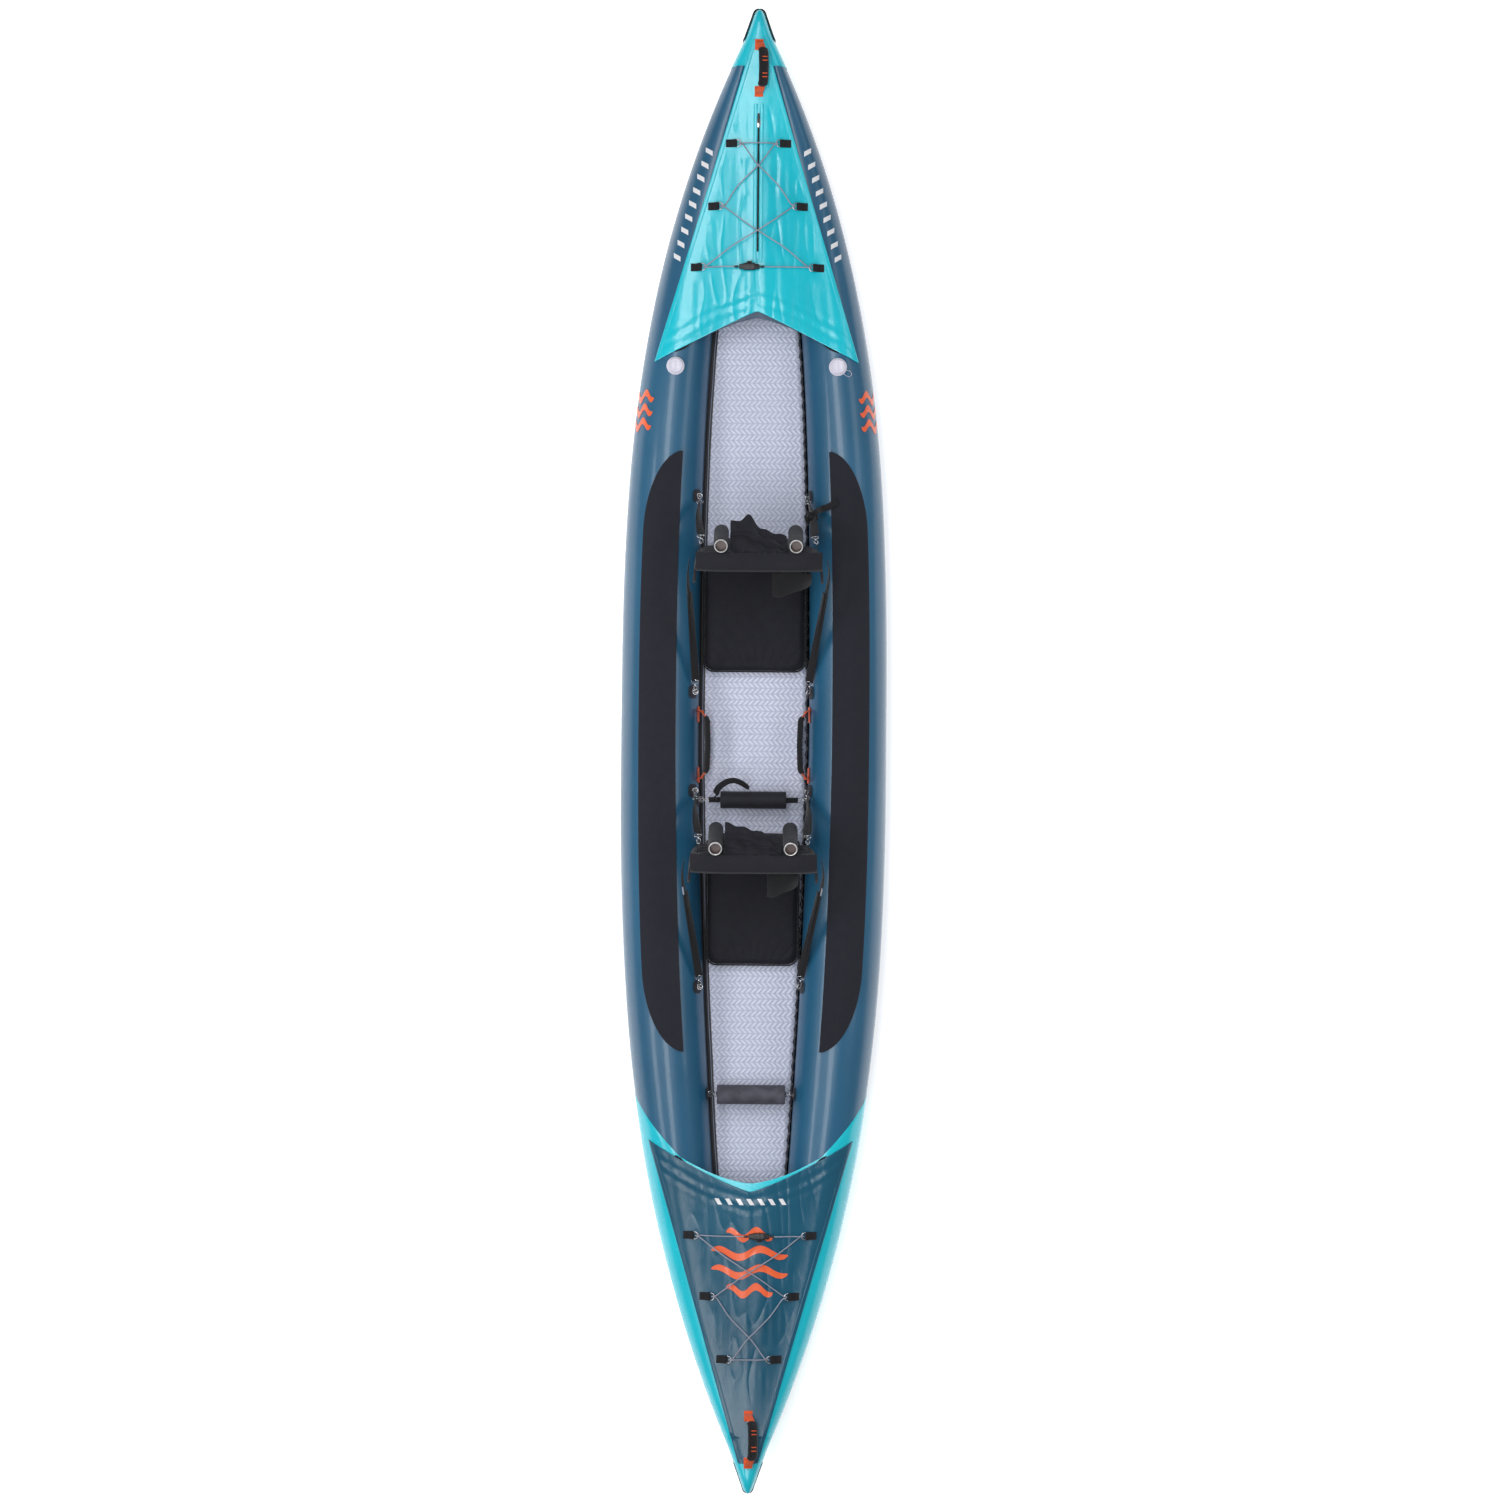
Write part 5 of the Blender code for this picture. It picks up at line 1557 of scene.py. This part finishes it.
def wrap_curve():
    behind = -BACK_HALF_THICKNESS - 0.008
    wing = ((0.172, behind + 0.004), (0.196, behind + 0.028), (WRAP_HALF_WIDTH - 0.006, WRAP_REACH))
    half = [(0.0, behind), (0.090, behind), (0.150, behind), *wing]
    return smooth_path([Vector((x, n, 0)) for x, n in [*[(-x, n) for x, n in reversed(half[1:])], *half]], 10)


def make_seat_wrap(seat):
    """The cover's outer layer: a band behind the panel whose rounded wings come forward, a hem over the
    panel's top, and the loose bolster inside its port wing, its near-black cloth painted shade under the hem."""
    frame_here = seat_frame(seat)
    middle = (WRAP_BAND[0] + WRAP_BAND[1]) / 2
    height = WRAP_BAND[1] - WRAP_BAND[0]
    path = wrap_curve()
    rows = []
    for i, point in enumerate(path):
        share = abs(2 * i / (len(path) - 1) - 1)
        tip = math.sqrt(max(0.02, 1 - max(0.0, (share - 0.80) / 0.20) ** 2))
        tall = height * (1 - 0.22 * share**3) * tip
        row = []
        for up in spaced(-0.5, 0.5, 25):
            v = middle + up * tall - 0.012 * (1 - tip)
            wrinkle = 0.0016 * rough(point.x * 22, v * 13, 3) + 0.0010 * math.sin(v * 190 + point.x * 14)
            row.append(frame_here @ Vector((point.x, v, point.y + wrinkle)))
        rows.append(row)
    third = round(0.20 * len(rows))
    parts = {"starboard": rows[: third + 1], "port": rows[-third - 1:]}
    band = thicken(skin(seat + "_back_band", rows[third:-third], LOOKS["seat"]), 0.0085)
    for label, side in SIDES.items():
        wing = thicken(skin(f"{seat}_wing_{label}", parts[label], LOOKS["seat"]), 0.0085)
        settle(wing, seat + "_back", "seat_fabric")
        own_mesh(wing)
    rows = []
    for x in spaced(-0.196, 0.200, 81):
        droop = 0.016 * (abs(x) / 0.2) ** 6 + 0.0012 * rough(x * 18, 0.3, 5)
        row = []
        for t in spaced(0, 1, 17):
            n = 0.022 - 0.062 * t
            v = BACK_HEIGHT + 0.003 - droop + 0.004 * math.sin(math.pi * t)
            v -= 0.014 * max(0.0, 1 - t * 6)
            v -= 0.010 * t**3
            wrinkle = 0.0026 * rough(x * 7, t * 5, 2) * ease(t * 2 - 0.7)
            row.append(frame_here @ Vector((x, v + wrinkle, n)))
        rows.append(row)
    hem = thicken(skin(seat + "_top_hem", rows, LOOKS["hem"]), 0.003, 0.001)
    rows = []
    for t in spaced(0, 1, 25):
        row = []
        for u in spaced(0, 1, 25):
            x = 0.045 + BOLSTER_WIDTH[seat] * u
            reach = (0.088 - 0.040 * u**1.6) * t
            curl = 0.018 * math.sin(math.pi * u) * t
            row.append(
                frame_here @ Vector(
                    (x, 0.322 - 0.050 * t**1.6 + curl, 0.024 + reach + 0.003 * math.sin(u * 9))
                )
            )
        rows.append(row)
    # the bolster's near-black cloth is painted shade under the hem
    bolster = thicken(skin(seat + "_bolster", rows, LOOKS["shade"]), 0.006, 0.002)
    settle(band, seat + "_back", "seat_fabric", seat + "_seat_wrap")
    settle(hem, seat + "_back", "seat_fabric")
    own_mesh(hem)
    settle(bolster, seat + "_back", "seat_fabric")
    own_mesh(bolster)


def make_pocket(seat):
    """The rod pocket's loose cloth, slumped in folds behind the back between the two holders."""
    frame_here = seat_frame(seat)
    rows = []
    for u in spaced(-1, 1, 61):
        x = u * 0.088
        peak = math.exp(-((u + 0.35) / 0.28) ** 2) if seat == "aft" else 0.0
        reach = 0.066 - 0.024 * u + 0.034 * peak
        row = []
        for t in spaced(0, 1, 49):
            slump = 0.016 * math.sin(math.pi * t) + 0.052 * t**2
            folds = 0.0065 * math.sin(
                t * 13 + u * 3.2 + 0.8 * rough(u * 2, t * 2, 5)
            ) * math.sin(math.pi * min(1.0, t * 1.3)) ** 0.5
            ripple = 0.004 * rough(u * 5, t * 5, 13 if seat == "aft" else 21)
            v = BACK_HEIGHT - 0.010 - slump + folds + ripple
            n = -0.040 - reach * t - 0.003 * math.sin(u * 11 + t * 5)
            row.append(frame_here @ Vector((x, v, n)))
        rows.append(row)
    pocket = thicken(skin(seat + "_rod_pocket", rows, LOOKS["seat"]), 0.0022, 0.0007)
    settle(pocket, seat + "_back", "seat_fabric")


def make_rod_holder(seat, label, side):
    """A rod tube in its cloth sleeve: a pale metal rim round a brown bore."""
    frame_here = seat_frame(seat)
    low, high = ROD_SPAN
    axis = frame_here @ Matrix.Translation(
        (side * ROD_X, 0, -ROD_BEHIND)
    ) @ Matrix.Rotation(-math.pi / 2, 4, "X")
    outline = [(0.0190, low), (0.0220, low), (ROD_SLEEVE, low + 0.003)]
    outline += [
        (ROD_SLEEVE + 0.0007 * rough(h * 40, side, 3) + 0.0004 * math.sin(h * 330), h)
        for h in spaced(low + 0.006, high - 0.012, 46)
    ]
    outline += [(0.0226, high - 0.009), (0.0205, high - 0.008)]
    sleeve = turned("sleeve", outline, axis, LOOKS["hem"], 40)
    rim = turned(
        "rim",
        (
            (0.0170, high - 0.010), (ROD_RIM, high - 0.010), (0.0212, high - 0.004), (ROD_RIM, high - 0.001),
            (0.0192, high), (0.0178, high - 0.001), (0.0172, high - 0.004), (0.0171, high - 0.0095),
        ),
        axis,
        LOOKS["rim"],
        48,
    )
    bore = turned(
        "bore",
        ((0.0169, high - 0.0030), (0.0166, high - 0.014), (0.0164, high - 0.024)),
        axis,
        LOOKS["bore"],
        40,
    )
    opened(sleeve)
    opened(bore)
    opened(rim, both=True)
    settle(
        join(f"{seat}_rod_sleeve_{label}", [sleeve, rim, bore]),
        seat + "_back",
        "rod_holder_silver",
        f"{seat}_rod_holder_{label}",
    )


def opened(piece, both=False):
    """Takes away a turned piece's upper end disc, or both its discs."""
    shape = bmesh.new()
    shape.from_mesh(piece.data)
    discs = [f for f in shape.faces if len(f.verts) > 4]
    if not both:
        discs = [max(discs, key=lambda f: f.calc_center_median().z)]
    bmesh.ops.delete(shape, geom=discs, context="FACES_ONLY")
    shape.to_mesh(piece.data)
    shape.free()


def along_frame(start, end):
    """A frame at start whose X runs towards end, and whose Z is as near up as can be."""
    ahead = (Vector(end) - Vector(start)).normalized()
    across = Vector((0, 0, 1)).cross(ahead).normalized()
    up = ahead.cross(across)
    return Matrix.Translation(start) @ Matrix((ahead, across, up)).transposed().to_4x4()


def snap_hook(start, end, size=1.0):
    """A swivel snap hook lying from start, the ring it clips, towards end, the strap's loop."""
    place = along_frame(start, end) @ Matrix.Scale(size, 4)
    hook = [
        (0.006, 0.0005), (0.0, 0.0045), (-0.004, 0.0), (-0.001, -0.0048), (0.007, -0.0066), (0.016, -0.0060),
        (0.0215, -0.002),
    ]
    body = cord_tube(
        "hook",
        smooth_path([place @ Vector((x, y, 0)) for x, y in hook], 6),
        0.0017 * size,
        LOOKS["steel"],
        10,
    )
    gate = cord_tube(
        "gate",
        [place @ Vector((x, 0.0048 - 0.1 * (x - 0.004), 0)) for x in spaced(0.004, 0.019, 6)],
        0.0013 * size,
        LOOKS["steel"],
        8,
    )
    lever = cord_tube(
        "lever",
        [place @ Vector((0.010, 0.0045 + d, 0)) for d in (0, 0.0020, 0.0042)],
        0.0011 * size,
        LOOKS["steel"],
        8,
    )
    barrel = cord_tube(
        "barrel",
        [place @ Vector((x, -0.0005, 0)) for x in (0.0190, 0.0215, 0.0250, 0.0285)],
        0.0036 * size,
        LOOKS["steel"],
        14,
    )
    eye = [
        (0.0290, 0.0), (0.0305, 0.0085), (0.0330, 0.0105), (0.0390, 0.0105), (0.0412, 0.0085),
        (0.0412, -0.0085), (0.0390, -0.0105), (0.0330, -0.0105), (0.0305, -0.0085), (0.0290, -0.001),
    ]
    ring = cord_tube("eye", [place @ Vector((x, y, 0)) for x, y in eye], 0.0016 * size, LOOKS["steel"], 10)
    return [body, gate, lever, barrel, ring]


def anchor_angle(side):
    """The rings sit lower on the port tube's inner flank than on the starboard one's."""
    return math.radians(163 if side > 0 else 148)


def tube_anchor(side, y, angle):
    """A welded patch on the tube with a small steel ring."""
    rows = []
    for py in spaced(y - 0.021, y + 0.021, 9):
        reach = math.radians(11) * math.sqrt(max(0.05, 1 - ((py - y) / 0.0225) ** 4))
        rows.append([tube_point(side, py, angle + reach * t, 0.0022) for t in spaced(-1, 1, 9)])
    patch = thicken(skin("patch", rows, LOOKS["black_skin"]), 0.0016, 0.0005)
    centre = tube_point(side, y, angle, 0.0055)
    out = (tube_point(side, y, angle, 0.02) - tube_point(side, y, angle, 0.0)).normalized()
    down = Vector((0, 1, 0)).cross(out)
    path = [
        centre + Vector((0, 1, 0)) * (0.0085 * math.cos(a)) + (out * 0.85 + down * 0.35).normalized() * (
            0.0085 * math.sin(a) + 0.004
        )
        for a in spaced(0, math.tau, 25)[:-1]
    ]
    ring = cord_tube("ring", path, 0.0015, LOOKS["steel"], 10, loop=True)
    return [patch, ring]


def bent_strap(name, points, half_width, twist):
    """Webbing from the hull to the seat back."""
    path = smooth_path(points, 8)
    sides = []
    for i in range(len(path)):
        share = i / (len(path) - 1)
        angle = twist[0] + (twist[1] - twist[0]) * ease(share)
        sides.append(Vector((math.cos(angle), 0, math.sin(angle))))
    strap = sweep(name, path, LOOKS["webbing"], lambda t: webbing(half_width, 0.0011), sides=sides)
    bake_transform(strap)
    return strap


def make_seat_straps(seat, label, side):
    """Front and rear straps with their hooks and slides, from the tube's rings to the seat's wing."""
    frame_here = seat_frame(seat)
    angle = anchor_angle(side)
    front = tube_point(side, SEATS[seat] + FRONT_HOOK_BACK, angle, 0.010)
    rear = tube_point(side, SEATS[seat] + REAR_HOOK_BACK, angle, 0.010)
    band = (WRAP_BAND[0] + WRAP_BAND[1]) / 2
    clear = 0.0085
    wing_tip = frame_here @ Vector((side * (WRAP_HALF_WIDTH + clear), band, WRAP_REACH - 0.010))
    wing_root = frame_here @ Vector((side * (WRAP_HALF_WIDTH + clear - 0.004), band, 0.0))
    corner_x = HOOK_CORNER_X[seat]
    corner = frame_here @ Vector((side * corner_x, band - 0.01, -0.052))
    fixed = [
        *tube_anchor(side, SEATS[seat] + FRONT_HOOK_BACK, angle),
        *tube_anchor(side, SEATS[seat] + REAR_HOOK_BACK, angle),
    ]
    fixed += snap_hook(front, wing_tip)
    fixed += snap_hook(rear, corner)
    settle(join(f"{seat}_anchors_{label}", fixed), "hull", "steel")
    start = front + (wing_tip - front).normalized() * 0.040
    turn = side * math.radians(-64)
    strap = bent_strap(
        f"{seat}_front_strap_{label}",
        [start, start.lerp(wing_tip, 0.5), wing_tip, wing_root],
        0.0100,
        (math.pi / 2 + turn, math.pi / 2),
    )
    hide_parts(f"{seat}_seat_strap_{label}")
    beside = [
        p + Vector((-side * 0.007, 0, -0.004))
        for p in (start, start.lerp(wing_tip, 0.5), wing_tip.lerp(start, 0.12))
    ]
    bent_strap(
        f"{seat}_front_tail_{label}",
        beside,
        0.0095,
        (math.pi / 2 + turn * 0.8, math.pi / 2 + turn * 0.3),
    )
    back_start = rear + (corner - rear).normalized() * 0.040
    back_end = corner + (back_start - corner).normalized() * 0.046
    bent_strap(
        f"{seat}_rear_strap_{label}",
        [back_start, back_start.lerp(back_end, 0.5) + Vector((side * 0.004, 0, 0.006)), back_end],
        0.0145,
        (math.radians(90 - side * 5), math.radians(90 - side * 50)),
    )
    moving = snap_hook(corner, back_end)
    slide = along_frame(wing_tip.lerp(start, 0.10), start) @ Matrix.Rotation(math.pi / 2, 4, "X")
    rungs = [
        (-0.012, -0.013), (-0.012, 0.013), (0.012, 0.013), (0.012, -0.013), (-0.012, -0.013), (0.0, -0.013),
        (0.0, 0.013),
    ]
    look = LOOKS["buckle"] if seat == "fore" else LOOKS["plastic"]
    ladder = sweep(
        f"{seat}_strap_slide_{label}",
        finer([slide @ Vector((x, y, side * -0.003)) for x, y in rungs], 3),
        look,
        lambda t: webbing(0.0024, 0.0016),
    )
    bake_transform(ladder)
    if seat == "aft" and side > 0:
        make_knot(back_start.lerp(back_end, 0.45))
    moving.append(
        sweep(
            "loop",
            [
                frame_here @ Vector(
                    (
                        side * (corner_x - 0.002 + 0.008 * math.sin(a)),
                        band - 0.01,
                        -0.032 + 0.018 * math.cos(a),
                    )
                )
                for a in spaced(-0.2, 2.6, 10)
            ],
            LOOKS["webbing"],
            lambda t: webbing(0.0095, 0.0010),
            sides=[Vector((0, 0.1, 1))] * 10,
        )
    )
    settle(join(f"{seat}_wing_hooks_{label}", moving), seat + "_back", "steel")


def make_knot(centre):
    """The aft port strap's spare length: knotted round the rear strap, its end lying on the tube."""
    loops = []
    for k, tilt in enumerate((0.3, 1.3, -0.8)):
        turn = Matrix.Translation(centre) @ Matrix.Rotation(tilt, 4, "X") @ Matrix.Rotation(0.5 * k, 4, "Y")
        ring = [
            turn @ Vector((0.015 * math.cos(a), 0.012 * math.sin(a), 0.005 * math.sin(2 * a)))
            for a in spaced(0, math.tau, 25)[:-1]
        ]
        loops.append(sweep("turn", ring, LOOKS["webbing"], lambda t: webbing(0.0075, 0.0022), loop=True))
    tail = [centre + Vector((0.004, 0.006, 0.004)), centre + Vector((0.016, 0.018, 0.014))]
    for out, on, spare in (
        (0.034, 0.030, 0.010), (0.054, 0.036, 0.005), (0.072, 0.047, 0.006), (0.082, 0.054, 0.004)
    ):
        x, y = centre.x + out, centre.y + on
        tail.append(Vector((x, y, hull_top(x, y) + CHAFE_GAP + 0.004 + spare)))
    path = smooth_path(tail, 8)
    loops.append(
        sweep(
            "tail",
            path,
            LOOKS["webbing"],
            lambda t: webbing(0.0085 + 0.003 * t, 0.0012),
            sides=[Vector((-0.5, 1, 0.2))] * len(path),
        )
    )
    knot = join("aft_strap_knot", loops)
    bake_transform(knot)


def make_footrest(place_name):
    """The foam roller on its strap, clipped to a ring on each tube."""
    y, z, length, radius = FOOTRESTS[place_name]
    axis = Matrix.Translation((0, y, z)) @ Matrix.Rotation(math.pi / 2, 4, "Y")
    half = length / 2
    look = LOOKS["foam_black"] if place_name == "aft" else LOOKS["foam_grey"]
    edge = 0.0045
    outline = [
        (0.0135, -half + 0.012), (0.0135, -half + 0.001), (0.0145, -half), (radius - edge, -half),
        (radius - 0.0013, -half + 0.0013), (radius, -half + edge),
    ]
    outline += [
        (radius + 0.0005 * rough(h * 30, radius * 90, 3), h) for h in spaced(-half + 0.010, half - 0.010, 40)
    ]
    outline += [(r, -h) for r, h in reversed(outline[:6])]
    roller = turned(place_name + "_foam_roller", outline, axis, look, 56)
    settle(
        roller,
        place_name + "_roller",
        "foam_black" if place_name == "aft" else "foam_grey",
        place_name + "_footrest_roller",
    )
    fixed = []
    for side in SIDES.values():
        ring_at = tube_point(side, y, math.radians(170), 0.008)
        inner = Vector((side * (half - 0.010), y, z))
        fixed += tube_anchor(side, y, math.radians(170))
        size = 0.62
        fixed += snap_hook(ring_at, inner, size)
        strap_start = ring_at + (inner - ring_at).normalized() * 0.041 * size
        path = finer([strap_start, inner], 8)
        fixed.append(
            sweep(
                "strap",
                path,
                LOOKS["webbing"],
                lambda t: webbing(0.0085, 0.0012),
                sides=[Vector((0, 1, 0.15))] * len(path),
            )
        )
    settle(
        join(place_name + "_footrest_webbing", fixed), "hull", "webbing_black", place_name + "_footrest_strap"
    )
    if place_name == "aft":
        loop = [
            (-0.122, y, z + 0.004), (-0.114, y + 0.034, z + 0.020), (-0.088, y + 0.056, z + 0.030),
            (-0.062, y + 0.062, z + 0.030), (-0.038, y + 0.054, z + 0.024), (-0.020, y + 0.042, z + 0.012),
            (-0.014, y + 0.038, z - 0.006),
        ]
        path = smooth_path([Vector(p) for p in loop], 8)
        spare = sweep(
            "aft_footrest_spare_strap",
            path,
            LOOKS["webbing"],
            lambda t: webbing(0.0105 - 0.005 * t**4, 0.0012),
            sides=[Vector((0.15, 1, 0.45))] * len(path),
        )
        settle(spare, "hull", "webbing_black")


def make_floor_edges():
    """Along the floor's edges: a black sheet with a grey seam to starboard, the sheet painted shade for the
    gap where the tube curves under, and thin lacing to port.
    """
    rows, seam, lace = [], [], []
    for y in spaced(-1.50, 1.50, 220):
        centre, _, half_x, _ = tube_at(y)
        inner = centre - half_x
        level = keel(y) + FLOOR_TOP - keel(FLOOR_HALF_LENGTH)
        wander = 0.0012 * rough(0.5, y * 9, 3)
        rows.append([Vector((-(inner - off), y, level + up + wander))
                     for off, up in ((0.001, 0.004), (0.006, -0.004), (0.014, 0.0005), (0.019, 0.0012))])
        seam.append(Vector((-(inner - 0.0125 - wander), y, level + 0.0026)))
    # painted shade: a black sheet along the starboard edge stands for the shadowed gap under the tube
    edge_shade = thicken(skin("floor_edge_shade_sheet", rows, LOOKS["black_skin"]), 0.0016, 0.0005)
    settle(edge_shade, "hull", "hull_black")
    settle(cord_tube("floor_seam", seam, 0.0015, LOOKS["grey_piping"], 8), "hull", "floor_grey")
    for y in spaced(-1.50, 1.50, 900):
        centre, _, half_x, _ = tube_at(y)
        level = keel(y) + FLOOR_TOP - keel(FLOOR_HALF_LENGTH)
        swing = 0.0040 * math.sin(y * math.tau / 0.040 + 1.5 * rough(0.1, y * 3, 2))
        lace.append(Vector((centre - half_x - 0.0075 + swing, y, level + 0.0022)))
    settle(cord_tube("floor_lacing", lace, 0.0015, LOOKS["plastic"], 8), "hull", "hull_black")


# ---------------------------------------------------------------- studio


def make_studio():
    size = 14.0
    ground = skin(
        "studio_floor",
        [[Vector((x, y, -0.0004)) for x in (-size, size)] for y in (-size, size)],
        LOOKS["paper"],
    )
    bpy.context.scene.view_settings.view_transform = "Standard"
    world = bpy.data.worlds.new("studio")
    bpy.context.scene.world = world
    world.use_nodes = True
    world.node_tree.nodes["Background"].inputs[0].default_value = (0.92, 0.96, 1.0, 1.0)
    world.node_tree.nodes["Background"].inputs[1].default_value = 0.24
    for name, place, power, width, length in (
        ("overhead", (-0.5, 0.3, 4.2), 125, 1.0, 6.0),
        ("left", (-3.4, -0.6, 3.6), 85, 0.9, 5.0),
        ("right", (3.6, 0.8, 3.4), 42, 1.2, 5.0),
    ):
        light = bpy.data.lights.new(name, "AREA")
        light.energy = power
        light.shape = "RECTANGLE"
        light.size = width
        light.size_y = length
        lamp = bpy.data.objects.new(name, light)
        lamp.location = place
        aim = Vector((0, 0, 0.1)) - Vector(place)
        lamp.rotation_euler = (0, math.atan2(-aim.x, -aim.z), 0)
        bpy.context.scene.collection.objects.link(lamp)


def make_camera():
    camera = bpy.data.objects.new("camera", bpy.data.cameras.new("camera"))
    camera.data.lens = camera.data.sensor_width * VIEW_HEIGHT / VIEW_WIDTH
    camera.location = (*VIEW_CENTRE, VIEW_LEVEL + VIEW_HEIGHT)
    camera.rotation_euler = (0, 0, VIEW_TURN)
    bpy.context.scene.collection.objects.link(camera)
    bpy.context.scene.camera = camera


# ---------------------------------------------------------------- assembly

make_camera()
LOOKS = make_looks()
make_studio()
make_floor()
make_bottom_skin()
for end_name in ENDS:
    make_nose(end_name)
    make_stem_strip(end_name)
    make_deck(end_name)
    make_deck_trim(end_name)
    make_bungee(end_name)
    make_cord_lock(end_name)
    make_end_handle(end_name)
    for row_name in LACING_ROWS:
        for side_name, side_sign in SIDES.items():
            make_lacing_ring(end_name, row_name, side_sign, side_name)
make_zip()
make_prints()
make_floor_edges()
for seat_name in SEATS:
    make_seat_pad(seat_name)
    make_seat_back(seat_name)
    make_seat_wrap(seat_name)
    make_pocket(seat_name)
    make_footrest(seat_name)
    for side_name, side_sign in SIDES.items():
        make_rod_holder(seat_name, side_name, side_sign)
        make_seat_straps(seat_name, side_name, side_sign)
for side_name, side_sign in SIDES.items():
    make_side_tube(side_name, side_sign)
    make_bow_wrap(side_name, side_sign)
    make_chafe_pad(side_name, side_sign)
    make_valve(side_name, side_sign)
    make_side_handle(side_name, side_sign)
